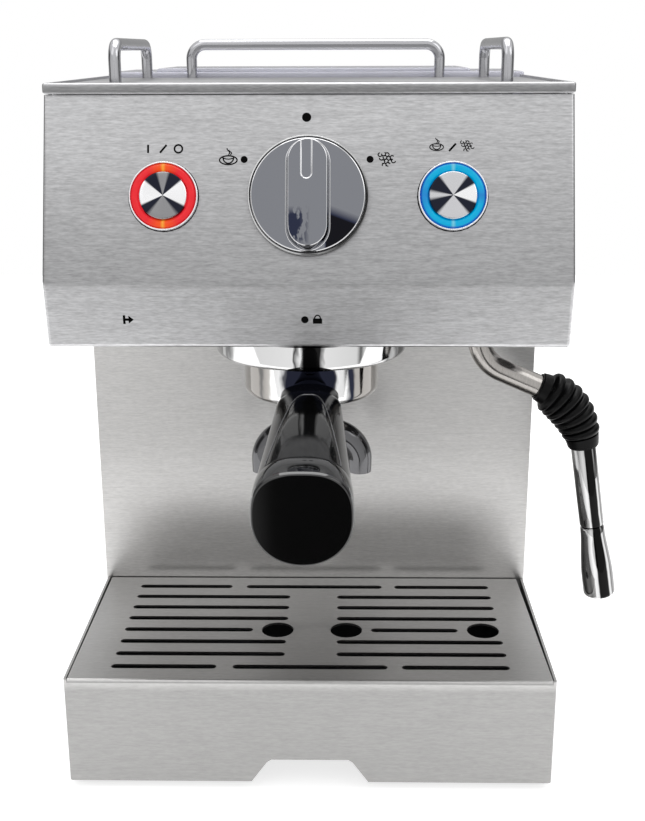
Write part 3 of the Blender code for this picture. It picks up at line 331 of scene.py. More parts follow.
def make_materials():
    black, grey, white = (0.02, 0.022, 0.035), (0.30, 0.30, 0.31), (0.92, 0.92, 0.93)
    light = (0.62, 0.62, 0.64)
    # Painted reflections on the spun button caps: white wedges are painted highlights, grey and black ones
    # painted reflections.
    power_painted_reflection_fan = [(0.0, white), (0.06, white), (0.075, black), (0.13, black), (0.16, grey), (0.34, grey),
                 (0.37, black),
                 (0.42, black), (0.435, white), (0.60, white), (0.615, black), (0.70, black), (0.72, grey),
                 (0.78, grey),
                 (0.80, black), (0.885, black), (0.90, white), (1.0, white)]
    mode_painted_reflection_fan = [(0.0, light), (0.015, light), (0.04, black), (0.125, black), (0.15, light), (0.35, light),
                (0.37, black),
                (0.44, black), (0.455, white), (0.57, white), (0.585, black), (0.64, black), (0.66, light),
                (0.84, light),
                (0.86, black), (0.96, black), (0.985, light)]
    # Painted reflection colours in the portafilter bowl: tan and navy bands.
    tan, navy = (0.31, 0.295, 0.28), (0.018, 0.020, 0.034)
    # Painted shadow on the knob rim's lower right, painted reflections around the rest.
    lip_painted_shadow_and_reflections = [(0.0, 0.70), (0.25, 0.50), (0.30, 0.22), (0.34, 0.04), (0.50, 0.04), (0.56, 0.30),
                 (0.62, 0.62), (1.0, 0.70)]
    # Painted reflections as bands around the bowl, the group collar and the wand sleeve and nozzle.
    cup_painted_reflections = [(0.0, tan), (0.118, tan), (0.126, 0.10), (0.134, tan), (0.152, (0.40, 0.385, 0.365)),
                 (0.158, 0.85),
                 (0.186, 0.95), (0.192, navy), (0.308, navy), (0.314, 0.95), (0.334, 0.85), (0.342, navy),
                 (0.356, navy),
                 (0.364, tan), (1.0, tan)]
    collar_painted_reflections = [(0.0, 0.25), (0.085, 0.30), (0.095, 0.06), (0.105, 0.30), (0.112, 0.72), (0.223, 0.80),
                  (0.226, 0.05),
                  (0.229, 0.05), (0.232, 0.95), (0.237, 0.95), (0.240, 0.015), (0.272, 0.015),
                  (0.276, 0.80), (0.385, 0.72),
                  (0.395, 0.10), (0.405, 0.35), (0.415, 0.05), (0.5, 0.25), (1.0, 0.25)]
    tube_painted_reflections = [(0.0, 0.24), (0.06, 0.18), (0.095, 0.30), (0.110, 0.48), (0.150, 0.26), (0.165, 0.45),
                  (0.196, 0.70),
                  (0.222, 0.60), (0.232, 0.010), (0.335, 0.014), (0.350, 0.66), (0.372, 0.50),
                  (0.380, 0.10), (0.400, 0.26),
                  (0.5, 0.18), (0.75, 0.4), (1.0, 0.24)]
    red, orange, yellow = (0.86, 0.025, 0.035), (0.95, 0.10, 0.012), (1.0, 0.42, 0.05)
    cyan, azure, pale = (0.0, 0.42, 0.72), (0.015, 0.24, 0.62), (0.20, 0.60, 0.74)
    red_around = [(0.0, red), (0.16, red), (0.235, orange), (0.25, yellow), (0.265, orange), (0.34, red),
                  (0.66, red),
                  (0.735, orange), (0.75, yellow), (0.765, orange), (0.84, red), (1.0, red)]
    blue_around = [(0.0, azure), (0.12, cyan), (0.235, cyan), (0.25, pale), (0.265, cyan), (0.44, cyan),
                   (0.50, azure),
                   (0.56, cyan), (0.735, cyan), (0.75, pale), (0.765, cyan), (0.88, cyan), (1.0, azure)]
    red_across = [(0.0, (0.9, 0.8, 0.9)), (0.2, 1.0), (0.8, 1.0), (0.95, (0.8, 0.5, 0.6)),
                  (1.0, (0.6, 0.3, 0.4))]
    blue_across = [(0.0, (0.5, 0.6, 0.8)), (0.15, 1.0), (0.75, 1.0), (0.9, (0.4, 0.35, 0.75)),
                   (1.0, (0.35, 0.25, 0.6))]
    return {
        "steel": brushed("brushed_steel", (0.47, 0.47, 0.48), 0.34, 0.17),
        # The height levels of these four sheets are painted light and shade: brighter and darker bands by
        # height.
        "steel_warm": height_shaded_steel("brushed_steel_warm", (0.52, 0.515, 0.508), 0.33,
                             [(0.90, 0.425), (0.96, 0.58)], 0.08),
        "steel_column": height_shaded_steel("brushed_steel_column", (0.56, 0.553, 0.545), 0.30,
                               [(0.25, 0.62), (0.62, 0.62), (0.85, 0.74), (1.0, 0.80)], 0.10),
        "steel_lid": height_shaded_steel("brushed_steel_lid", (0.53, 0.53, 0.538), 0.34,
                            [(0.0, 0.80), (0.10, 0.70), (0.20, 0.30), (0.60, 0.38), (0.78, 0.50),
                             (0.86, 0.60)]),
        "steel_panel": height_shaded_steel("brushed_steel_panel", (0.53, 0.53, 0.538), 0.34,
                              [(0.0, 0.72), (0.25, 0.68), (0.285, 0.43), (0.60, 0.50), (0.92, 0.60)]),
        "chrome": polished("chrome", (0.78, 0.78, 0.79)),
        "wand_steel": drawn_tube("wand_steel", (0.44, 0.42, 0.40), 0.15),
        "ring_chrome": banded("ring_chrome", collar_painted_reflections),
        "cup_chrome": banded("cup_chrome", cup_painted_reflections),
        "tube_chrome": banded("tube_chrome", tube_painted_reflections),
        "rail_chrome": polished("rail_chrome", (0.50, 0.50, 0.52), 0.12),
        "spout_chrome": polished("spout_chrome", (0.14, 0.14, 0.145), 0.08),
        # The knob face and grip bar carry painted dark reflections.
        "smoked": smoked("smoked_face", (0.225, 0.232, 0.255), 0.12, [(0.585, 0.0), (0.675, 1.0)],
                         [(0.64, 1.0), (0.66, 0.0)], [(0.0, 1.0), (1.0, 1.0)], [(0.0, 1.0), (1.0, 1.0)]),
        "smoked_bar": smoked("smoked_bar", (0.225, 0.232, 0.255), 0.10, [(0.0, 1.0), (1.0, 1.0)],
                             [(0.0, 1.0), (1.0, 1.0)],
                             [(0.05, 1.0), (0.12, 0.0), (0.30, 0.0), (0.38, 1.0)],
                             [(0.40, 0.0), (0.47, 0.3), (0.52, 1.0)]),
        "lip": banded("knob_lip_painted_light_and_shadow", lip_painted_shadow_and_reflections, 0.10),
        "bezel": polished("bezel_chrome", (0.88, 0.88, 0.90), 0.28),
        # Lighter than the grip: partly a painted highlight along the handle's crease.
        "ridge": polished("grip_ridge_highlight", (0.30, 0.30, 0.31), 0.25),
        "cap_gloss": moulded("cap_gloss", (0.0020, 0.0020, 0.0021), 0.05, 700.0, 0.000001, 0.9),
        "spun_power": spun("spun_power", power_painted_reflection_fan),
        "spun_mode": spun("spun_mode", mode_painted_reflection_fan),
        "spun": drawn_tube("spun_steel", (0.70, 0.69, 0.67), 0.25),
        "black_gloss": moulded("black_gloss", (0.0022, 0.0022, 0.0024), 0.07, 700.0, 0.000002, 0.13),
        "black_plastic": moulded("black_plastic", (0.025, 0.025, 0.027), 0.42),
        "rubber": moulded("rubber", (0.0022, 0.0022, 0.0024), 0.30, 1200.0, 0.000006, 0.12),
        "print": moulded("black_print", (0.002, 0.002, 0.002), 0.75, 2500.0, 0.00001, 0.05),
        "red_ring": lit_ring("red_ring", red_around, red_across, 0.78),
        "blue_ring": lit_ring("blue_ring", blue_around, blue_across, 0.80),
        "tank": tinted("tank_plastic", (0.72, 0.73, 0.90), 0.08, 0.85),
        "tank_lid": tinted("tank_lid_plastic", (0.80, 0.80, 0.88), 0.12, 0.45),
        "brass": drawn_tube("brass", (0.72, 0.52, 0.25), 0.30),
        "aluminium": drawn_tube("cast_aluminium", (0.68, 0.68, 0.69), 0.42, (300.0, 300.0, 300.0)),
        "board": moulded("board", (0.02, 0.16, 0.07), 0.45),
        "hose": moulded("hose", (0.80, 0.79, 0.75), 0.40),
    }


# ---- mesh helpers ----
def to_object(name, bm, *materials):
    """Turn a bmesh into a linked object with closed, outward faces."""
    bmesh.ops.remove_doubles(bm, verts=bm.verts, dist=0.0000002)
    bmesh.ops.recalc_face_normals(bm, faces=bm.faces)
    mesh = bpy.data.meshes.new(name)
    bm.to_mesh(mesh)
    bm.free()
    obj = bpy.data.objects.new(name, mesh)
    bpy.context.scene.collection.objects.link(obj)
    for material in materials:
        mesh.materials.append(MATERIALS[material])
    return obj


def mount(obj, body, slot, *nodes):
    """Ride a finished piece on its body, in place of CAD nodes."""
    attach(obj, body)
    if nodes:
        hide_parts(*nodes)
    return obj


def soften(obj, width, segments=3, angle=30, slot=-1):
    """Round the edges and shade the result smooth."""
    mod = obj.modifiers.new("round", "BEVEL")
    mod.width = width
    mod.segments = segments
    mod.limit_method = "ANGLE"
    mod.angle_limit = math.radians(angle)
    mod.material = slot
    smooth(obj, 50)


def smooth(obj, angle=40):
    obj.data.shade_smooth()
    obj.data.set_sharp_from_angle(angle=math.radians(angle))


def lathe(name, profile, material, matrix, segments=96, closed=False):
    """Turn (radius, height) points about the local Z axis."""
    bm = bmesh.new()
    rings = []
    for radius, height in profile:
        if radius < 1e-7:
            rings.append([bm.verts.new((0.0, 0.0, height))])
            continue
        turn = [2 * math.pi * i / segments for i in range(segments)]
        rings.append([bm.verts.new((radius * math.cos(a), radius * math.sin(a), height)) for a in turn])
    pairs = list(zip(rings, rings[1:]))
    if closed:
        pairs.append((rings[-1], rings[0]))
    for first, second in pairs:
        for i in range(segments):
            j = (i + 1) % segments
            corners = [first[i % len(first)], first[j % len(first)], second[j % len(second)],
                       second[i % len(second)]]
            unique = list(dict.fromkeys(corners))
            if len(unique) > 2:
                bm.faces.new(unique)
    obj = to_object(name, bm, material)
    smooth(obj, 35)
    obj.matrix_world = matrix
    return obj


def arc(centre, radius, start, end, steps=6):
    """Arc points in a profile, angles in degrees."""
    turn = [math.radians(start + (end - start) * i / steps) for i in range(steps + 1)]
    return [(centre[0] + radius * math.cos(a), centre[1] + radius * math.sin(a)) for a in turn]


def skin(name, rings, material, loop=False):
    """Skin a list of equal rings; open ends are capped."""
    bm = bmesh.new()
    loops = [[bm.verts.new(point) for point in ring] for ring in rings]
    count = len(loops[0])
    pairs = list(zip(loops, loops[1:]))
    if loop:
        pairs.append((loops[-1], loops[0]))
    for first, second in pairs:
        for i in range(count):
            j = (i + 1) % count
            bm.faces.new((first[i], first[j], second[j], second[i]))
    if not loop:
        bm.faces.new(loops[0])
        bm.faces.new(loops[-1])
    obj = to_object(name, bm, material)
    smooth(obj)
    return obj


def rounded_path(corners, radii, steps=10):
    """Replace the inner corners of a path with arcs, one radius for each."""
    points = [Vector(corners[0])]
    for before, corner, after, radius in zip(corners, corners[1:], corners[2:], radii):
        corner = Vector(corner)
        back = (Vector(before) - corner).normalized()
        ahead = (Vector(after) - corner).normalized()
        half = back.angle(ahead) / 2
        centre = corner + (back + ahead).normalized() * (radius / math.sin(half))
        start = corner + back * (radius / math.tan(half)) - centre
        end = corner + ahead * (radius / math.tan(half)) - centre
        sweep = start.angle(end)
        for i in range(steps + 1):
            t = i / steps
            between = start * math.sin((1 - t) * sweep) + end * math.sin(t * sweep)
            points.append(centre + between / math.sin(sweep))
    points.append(Vector(corners[-1]))
    return points


def path_between(path, start, end, count):
    """Evenly spaced points between two distances along a path."""
    spans = [(b - a).length for a, b in zip(path, path[1:])]
    result = []
    for i in range(count):
        left = start + (end - start) * i / (count - 1)
        for a, b, span in zip(path, path[1:], spans):
            if left <= span or b is path[-1]:
                result.append(a.lerp(b, left / span))
                break
            left -= span
    return result


def tube_rings(path, radii, normal, count=40):
    """Rings of the given radii along a path that lies in the plane with this normal."""
    rings = []
    for i, (point, radius) in enumerate(zip(path, radii)):
        ahead = path[min(i + 1, len(path) - 1)] - path[max(i - 1, 0)]
        across = ahead.normalized().cross(normal)
        turn = [2 * math.pi * k / count for k in range(count)]
        rings.append([point + (across * math.cos(a) + normal * math.sin(a)) * radius for a in turn])
    return rings


def length_of(path):
    return sum((b - a).length for a, b in zip(path, path[1:]))


def panel_matrix(x, along=KNOB_UP):
    """Axes on the sloping panel: X right, Y up the slope, Z out of it."""
    spot = at(x, PANEL_BEND[0] + along * math.sin(PANEL_TILT), PANEL_BEND[1] + along * math.cos(PANEL_TILT))
    return Matrix.Translation(spot) @ Matrix.Rotation(math.pi / 2 - PANEL_TILT, 4, "X")


def strip_matrix(x, down):
    """Axes on the lower strip, a distance down from the bend."""
    lean = math.atan2(PANEL_FOOT[0] - PANEL_BEND[0], PANEL_BEND[1] - PANEL_FOOT[1])
    spot = at(x, PANEL_BEND[0] + down * math.sin(lean), PANEL_BEND[1] - down * math.cos(lean))
    return Matrix.Translation(spot) @ Matrix.Rotation(math.pi / 2 + lean, 4, "X")


# ---- pieces ----
def cup_rails():
    foot = 0.3268
    sides = {"left": ((-0.0958, 0.0908), (-0.0958, 0.1916)), "right": ((0.0958, 0.0908), (0.0958, 0.1916)),
             "rear": ((-0.0710, 0.1980), (0.0710, 0.1980))}
    for where, (first, second) in sides.items():
        corners = [at(*first, foot), at(*first, RAIL_TOP), at(*second, RAIL_TOP), at(*second, foot)]
        path = rounded_path(corners, (0.0080, 0.0080), 14)
        across = (corners[2] - corners[1]).normalized().cross(Vector((0, 0, 1)))
        rail = skin("rail_" + where, tube_rings(path, [RAIL_RADIUS] * len(path), across, 32), "rail_chrome")
        mount(rail, "machine", "chrome", "cup_rail_" + where)


def brew_group():
    axis = Matrix.Translation(at(0.0, GROUP_Y, 0.0))
    outside = [(COLLAR_RADIUS, 0.2162)] + arc((COLLAR_RADIUS - 0.0028, 0.2070), 0.0028, 0, -90, 8)
    inside = [(0.0349, 0.2042), (0.0344, 0.2047), (0.0344, 0.2087), (0.0396, 0.2087), (0.0396, 0.2162)]
    collar = lathe("group_ring", outside + inside, "ring_chrome", axis, 160, closed=True)
    mount(collar, "machine", "chrome", "brew_collar")


def portafilter():
    axis = Matrix.Translation(at(0.0, GROUP_Y, 0.0))
    wall, top, bottom, neck = 0.0018, 0.2129, 0.1770, 0.0160
    bend = (CUP_RADIUS - 0.0050, 0.1875)
    outer = arc(bend, 0.0050, 0, -60, 10) + [(neck, bottom), (0.0, bottom)]
    inner = [(0.0, bottom + wall), (neck, bottom + wall)] + arc(bend, 0.0050 - wall, -60, 0, 6)
    rim = [(CUP_RADIUS - wall, top), (CUP_RADIUS, top)]
    cup = lathe("portafilter_bowl", inner + rim + outer, "cup_chrome", axis, 160)
    mount(cup, "portafilter", "chrome", "portafilter_cup")
    lug = bmesh.new()
    for side in (-1, 1):
        made = bmesh.ops.create_cube(lug, size=1.0)
        for vert in made["verts"]:
            vert.co = Vector((side * 0.0361 + vert.co.x * 0.0048, vert.co.y * 0.011,
                              0.21065 + vert.co.z * 0.0031))
    lugs = to_object("portafilter_lugs", lug, "chrome")
    lugs.matrix_world = axis
    soften(lugs, 0.0006)
    mount(lugs, "portafilter", "chrome")
    spouts()
    handle()


def spouts():
    reach, drop, tip = 0.0248, 0.1600, 0.1392
    corners = [at(-reach, GROUP_Y, tip), at(-reach, GROUP_Y, drop), at(reach, GROUP_Y, drop),
               at(reach, GROUP_Y, tip)]
    path = rounded_path(corners, (0.0150, 0.0150), 14)
    total = length_of(path)
    path = path_between(path, 0.0, total, 64)
    radii = [0.0060 + 0.0012 * math.sin(math.pi * i / 63) for i in range(64)]
    arch = skin("spout_arch", tube_rings(path, radii, Vector((0, 1, 0)), 40), "spout_chrome")
    mount(arch, "portafilter", "chrome", "twin_spout")
    profile = [(0.0, 0.1767), (0.0135, 0.1767), (0.0131, 0.1740), (0.0106, 0.1695), (0.0098, 0.1600),
               (0.0, 0.1600)]
    hub = lathe("spout_hub", profile, "spout_chrome", Matrix.Translation(at(0.0, GROUP_Y, 0.0)), 64)
    mount(hub, "portafilter", "chrome")


def handle_ring(along, half, above, below, top_power=2.4, low_power=2.1, count=96, raised=0.0, lens=0.0):
    """One cross-section of the handle; inside the lens the top stands proud by raised."""
    start = Vector((0.0, *HANDLE_START))
    run = Vector((0.0, *HANDLE_END)) - start
    up = Vector((0.0, run.z, -run.y)).normalized()
    centre = at(*(start + run * along))
    ring = []
    for step in range(count):
        angle = 2 * math.pi * (step + 0.5) / count
        c, s = math.cos(angle), math.sin(angle)
        rise, power = (above, top_power) if s > 0 else (below, low_power)
        x = half * math.copysign(abs(c) ** (2 / power), c)
        lift = rise * math.copysign(abs(s) ** (2 / power), s)
        if s > 0 and lens > 0:
            edge = min(1.0, max(0.0, (lens - abs(x)) / 0.0009))
            lift += raised * edge * edge * (3 - 2 * edge)
        ring.append(centre + Vector((x, 0.0, 0.0)) + up * lift)
    return ring


def handle():
    def size(t):
        """Half width, height above and depth below the axis, at a fraction of the length."""
        return 0.0148 + 0.0062 * t, 0.0079 + 0.0137 * t, 0.0135 + 0.0082 * t

    def arch(t):
        """Half width of the raised arch as a share of the grip's."""
        return 0.76 * max(0.0, min(1.0, (t - 0.13) / 0.69)) ** 0.28

    rows = []
    count = 56
    for i in range(count):
        t = 0.0605 + (0.8810 - 0.0605) * i / (count - 1)
        half, above, below = size(t)
        lens = half * arch(t)
        close = min(1.0, i / 2.5, (count - 1 - i) / 1.2)
        trim = 1.0 - 0.05 * (1.0 - close) ** 2
        power = 2.3 + 0.35 * t
        rows.append(handle_ring(t, half * trim, (above - 0.0005) * trim, below * trim, power, 2.1, 96,
                                0.0003, lens))
    grip = skin("grip_shell", rows, "black_gloss")
    mount(grip, "portafilter", "black_gloss", "handle_grip")

    run = Vector((0.0, *HANDLE_END)) - Vector((0.0, *HANDLE_START))
    up = Vector((0.0, run.z, -run.y)).normalized()
    stations = [0.131 + 0.72 * (i / 40) ** 2 for i in range(41)]
    line = []
    for side, order in ((-1, reversed(stations)), (1, stations)):
        for t in order:
            half, above, below = size(t)
            power = 2.3 + 0.35 * t
            x = side * half * arch(t)
            lift = (above - 0.0002) * (1.0 - abs(x / half) ** power) ** (1.0 / power)
            line.append(at(*(Vector((0.0, *HANDLE_START)) + run * t)) + Vector((x, 0.0, 0.0)) + up * lift)
    # The ridge tube is real, but its grey chrome, lighter than the black grip, is partly a painted
    # highlight along the arch's crease.
    ridge = skin("grip_ridge_highlight", tube_rings(line, [0.00024] * len(line), up, 8), "ridge")
    mount(ridge, "portafilter", "black_gloss")

    steps = [(0.8835, 0.975), (0.8845, 0.998), (0.8870, 1.002), (0.9300, 1.010), (0.9820, 1.012),
             (0.9900, 1.006),
             (0.9960, 0.994), (0.9990, 0.982), (1.0, 0.970), (1.0, 0.955)]
    half, above, below = size(0.905)
    rows = [handle_ring(t, half * s, above * s, (below + 0.0004) * s, 2.75, 2.1) for t, s in steps]
    cap = skin("end_cap", rows, "cap_gloss")
    mount(cap, "portafilter", "black_gloss", "handle_end_cap")

    rows = []
    for i in range(12):
        t = -0.070 + 0.126 * i / 11
        rows.append(handle_ring(t, 0.0138 + 0.00005 * i, 0.0070 + 0.00007 * i, 0.0112 + 0.00012 * i, 2.1,
                                2.0, 64))
    ferrule = skin("handle_neck", rows, "black_gloss")
    saddle = lathe("neck_saddle", [(0.0, 0.21), (CUP_RADIUS + 0.0002, 0.21), (CUP_RADIUS + 0.0002, 0.16),
                                   (0.0, 0.16)],
                   "chrome", Matrix.Translation(at(0.0, GROUP_Y, 0.0)), 128)
    cut(ferrule, saddle)
    mount(ferrule, "portafilter", "black_gloss", "handle_ferrule")


def cut(obj, tool, operation="DIFFERENCE"):
    """Apply a Boolean at once and drop the tool."""
    mod = obj.modifiers.new("cut", "BOOLEAN")
    mod.object = tool
    mod.operation = operation
    mod.solver = "EXACT"
    bpy.context.view_layer.update()
    mesh = bpy.data.meshes.new_from_object(obj.evaluated_get(bpy.context.evaluated_depsgraph_get()))
    obj.modifiers.clear()
    obj.data = mesh
    bpy.data.objects.remove(tool, do_unlink=True)
    smooth(obj)


def steam_wand():
    def spot(x, z):
        return at(x, WAND_Y, z)

    side = Vector((0.0, 1.0, 0.0))
    corners = [spot(WAND_X, 0.2320), spot(*WAND_ELBOW), spot(*WAND_KNEE), spot(*WAND_TIP)]
    route = rounded_path(corners, (0.0190, 0.0380), 24)
    to_tip = (corners[3] - corners[2]).normalized()
    grip_end = corners[2] + to_tip * 0.0228
    pipe = length_of(route) - (corners[3] - grip_end).length - 0.004
    path = path_between(route, 0.0, pipe, 70)
    tube = skin("steam_pipe", tube_rings(path, [0.0057] * 70, side, 48), "wand_steel")
    mount(tube, "steam_wand", "wand_steel", "wand_pipe")

    start, stop, count = pipe - 0.0380, pipe + 0.0040, 140
    path = path_between(route, start, stop, count)
    outer = []
    for i in range(count):
        t = i / (count - 1)
        radius = 0.0070 + 0.0036 * math.sin(math.pi * t ** 0.7) + 0.0006 * t
        if t < 0.12:
            radius = 0.0070 + 0.0010 * t / 0.12
        elif t < 0.86:
            radius += 0.0022 * abs(math.sin(math.pi * 7 * (t - 0.12) / 0.74)) ** 0.5 - 0.0016
        if t < 0.015 or t > 0.985:
            radius -= 0.0005
        outer.append(radius)
    rings = tube_rings(path, outer, side, 56) + list(reversed(tube_rings(path, [0.0060] * count, side, 56)))
    bellows = skin("bellows", rings, "rubber", loop=True)
    mount(bellows, "steam_wand", "rubber", "wand_bellows")

    tilt = math.atan2(to_tip.x, -to_tip.z)
    lower = Matrix.Translation(corners[3]) @ Matrix.Rotation(-tilt, 4, "Y")
    top, split = (corners[3] - grip_end).length, 0.0395
    profile = [(0.0060, top), (0.0062, top - 0.0004), (0.0062, split + 0.0012), (0.0059, split + 0.0005),
               (0.0038, split + 0.0004), (0.0038, top - 0.0016)]
    sleeve = lathe("chrome_sleeve", profile, "tube_chrome", lower, 64, closed=True)
    mount(sleeve, "steam_wand", "chrome", "wand_sleeve")
    profile = [(0.0052, split), (0.0057, split - 0.0003), (0.0061, split - 0.0012), (0.0062, 0.0350),
               (0.0064, 0.0320),
               (0.0069, 0.0270), (0.0075, 0.0210), (0.0080, 0.0150), (0.0081, 0.0110), (0.0081, 0.0050)]
    profile += arc((0.0055, 0.0026), 0.0026, 0, -90, 8)
    profile += [(0.0012, 0.0), (0.0012, 0.0100), (0.0042, 0.0117), (0.0042, split)]
    nozzle = lathe("froth_nozzle", profile, "tube_chrome", lower, 72, closed=True)
    mount(nozzle, "nozzle", "chrome", "frothing_nozzle")


def selector():
    axis = panel_matrix(0.0)
    face = 0.0045
    # The rim's material paints a shadow on its lower right and reflections around the rest.
    rim = [(0.0262, 0.0026), (0.0264, 0.0036)] + arc((0.0268, 0.0036), 0.0004, 160, 0, 5)
    rim += [(0.0272, 0.0012), (0.0262, 0.0012)]
    ring = lathe("knob_rim", rim, "lip", axis, 160, closed=True)
    mount(ring, "knob", "chrome", "knob_trim_ring")

    disc = lathe("knob_face", [(0.0, face), (0.0259, face), (0.0259, 0.0012), (0.0, 0.0012)], "smoked",
                 axis, 160)
    disc.data.materials.append(MATERIALS["chrome"])
    soften(disc, 0.0005, 3, 50, 1)
    mount(disc, "knob", "knob_mirror", "selector_knob")

    bar_mesh = bmesh.new()
    half, reach, low, high = 0.0100, 0.0252, face - 0.0010, 0.0104
    levels = []
    for height, inset in ((low, 0.0), (high, 0.0012)):
        outline = []
        for sign in (1, -1):
            for i in range(25):
                a = math.pi * i / 24
                x = (half - inset) * math.cos(a)
                y = reach - 0.0108 + (0.0108 - inset) * math.sin(a)
                outline.append(bar_mesh.verts.new((sign * x, sign * y, height)))
        levels.append(outline)
    count = len(levels[0])
    bar_mesh.faces.new(levels[0])
    bar_mesh.faces.new(levels[1])
    for i in range(count):
        j = (i + 1) % count
        bar_mesh.faces.new((levels[0][i], levels[0][j], levels[1][j], levels[1][i]))
    bar = to_object("knob_grip_bar", bar_mesh, "smoked_bar", "chrome")
    bar.matrix_world = axis
    foot = []
    for sign in (1, -1):
        for i in range(25):
            a = math.pi * i / 24
            foot.append(Vector((sign * half * math.cos(a), sign * (reach - 0.0108 + 0.0108 * math.sin(a)),
                                face)))
    line = skin("bar_foot", tube_rings(foot + foot[:1], [0.00028] * (len(foot) + 1), Vector((0, 0, 1)), 10),
                "chrome")
    line.matrix_world = axis
    mount(line, "knob", "chrome")
    groove = bmesh.new()
    outline = [(0.0019, 0.030), (-0.0029, 0.030)]
    outline += [(-0.0005 + 0.0024 * math.cos(math.radians(a)), 0.0086 + 0.0024 * math.sin(math.radians(a)))
                for a in range(180, 361, 15)]
    face_loop = groove.faces.new([groove.verts.new((x, y, high - 0.0006)) for x, y in outline])
    grown = bmesh.ops.extrude_face_region(groove, geom=[face_loop])
    lifted = [item for item in grown["geom"] if isinstance(item, bmesh.types.BMVert)]
    bmesh.ops.translate(groove, verts=lifted, vec=(0.0, 0.0, 0.01))
    tool = to_object("groove_tool", groove, "smoked_bar")
    tool.matrix_world = axis
    cut(bar, tool)
    soften(bar, 0.0004, 3, 32, 1)
    mount(bar, "knob", "knob_mirror")


def push_buttons():
    for name, x, ring_look, disc_look, slot in (("power", -BUTTON_X, "red_ring", "spun_power", "red_light"),
                                                ("mode", BUTTON_X, "blue_ring", "spun_mode", "blue_light")):
        axis = panel_matrix(x)
        bezel = [(0.0149, 0.0018)] + arc((0.0153, 0.0018), 0.0004, 150, 0, 6) + [(0.0157, -0.0030),
                                                                                 (0.0149, -0.0030)]
        piece = lathe(name + "_trim", bezel, "bezel", axis, 128, closed=True)
        mount(piece, "machine", "chrome", name + "_bezel")
        ring = [(0.0147, -0.0036), (0.0147, 0.0017)] + arc((0.01295, 0.0011), 0.0018, 18, 162, 10)
        ring += [(0.0112, 0.0010), (0.0112, -0.0036)]
        piece = lathe(name + "_glow_ring", ring, ring_look, axis, 128, closed=True)
        mount(piece, "machine", slot, name + "_light_ring")
        disc = [(0.0, 0.0033), (0.0085, 0.0034)] + arc((0.0101, 0.0026), 0.0008, 90, 0, 5)
        disc += [(0.0109, -0.0038), (0.0, -0.0038)]
        piece = lathe(name + "_cap", disc, disc_look, axis, 96)
        mount(piece, name + "_button", "spun_steel", name + "_button")


# ---- printed marks ----
def marks(name, matrix, lines=(), fills=()):
    """Thin raised print: strokes (points, width) and filled outlines, in the panel's plane."""
    bm = bmesh.new()
    for points, width in lines:
        points = [Vector((x, y, 0.0)) for x, y in points]
        rows = []
        for i, point in enumerate(points):
            ahead = (points[min(i + 1, len(points) - 1)] - points[max(i - 1, 0)]).normalized()
            across = Vector((-ahead.y, ahead.x, 0.0)) * width / 2
            rows.append((bm.verts.new(point + across), bm.verts.new(point - across)))
        for first, second in zip(rows, rows[1:]):
            bm.faces.new((first[0], first[1], second[1], second[0]))
    for outline in fills:
        bm.faces.new([bm.verts.new((x, y, 0.0)) for x, y in outline])
    grown = bmesh.ops.extrude_face_region(bm, geom=bm.faces[:])
    lifted = [item for item in grown["geom"] if isinstance(item, bmesh.types.BMVert)]
    bmesh.ops.translate(bm, verts=lifted, vec=(0.0, 0.0, PRINT_THICKNESS))
    obj = to_object(name, bm, "print")
    obj.matrix_world = matrix @ Matrix.Translation((0.0, 0.0, 0.00001))
    return mount(obj, "machine", "black_plastic")


def ring_points(x, y, width, height, start=0, end=360, steps=24):
    turn = [math.radians(start + (end - start) * i / steps) for i in range(steps + 1)]
    return [(x + width * math.cos(a), y + height * math.sin(a)) for a in turn]


def dot(x, y, radius):
    return ring_points(x, y, radius, radius)[:-1]


def cup_marks(x, y, s):
    """A cup on its saucer with a wisp of steam, s half its width."""
    wide = 0.155 * s
    lines = [(ring_points(x, y, s, 0.50 * s), wide),
             (ring_points(x, y + 0.32 * s, 0.60 * s, 0.20 * s), wide * 0.8),
             (ring_points(x, y + 0.30 * s, 0.60 * s, 0.66 * s, 180, 360), wide)]
    for offset, height in ((0.0, 0.075), (0.22, 0.055)):
        wisp = [(x + (offset + 0.15 * math.sin(5.2 * i / 10)) * s, y + (0.62 + height * i) * s)
                for i in range(11)]
        lines.append((wisp, wide * 0.8))
    return lines


def steam_marks(x, y, s):
    """A leaning cloud of steam: curls in slanting rows."""
    lines = []
    for row, lift, count in ((0, 0.72, 3), (1, 0.22, 4), (2, -0.28, 4), (3, -0.75, 2)):
        for i in range(count):
            middle = x + (-0.78 + 0.20 * row + 0.50 * i) * s
            turn = 95 + 75 * (row + i)
            lines.append((ring_points(middle, y + (lift + 0.10 * (i % 2)) * s, 0.28 * s, 0.26 * s, turn,
                                      turn + 250, 12), 0.16 * s))
    return lines


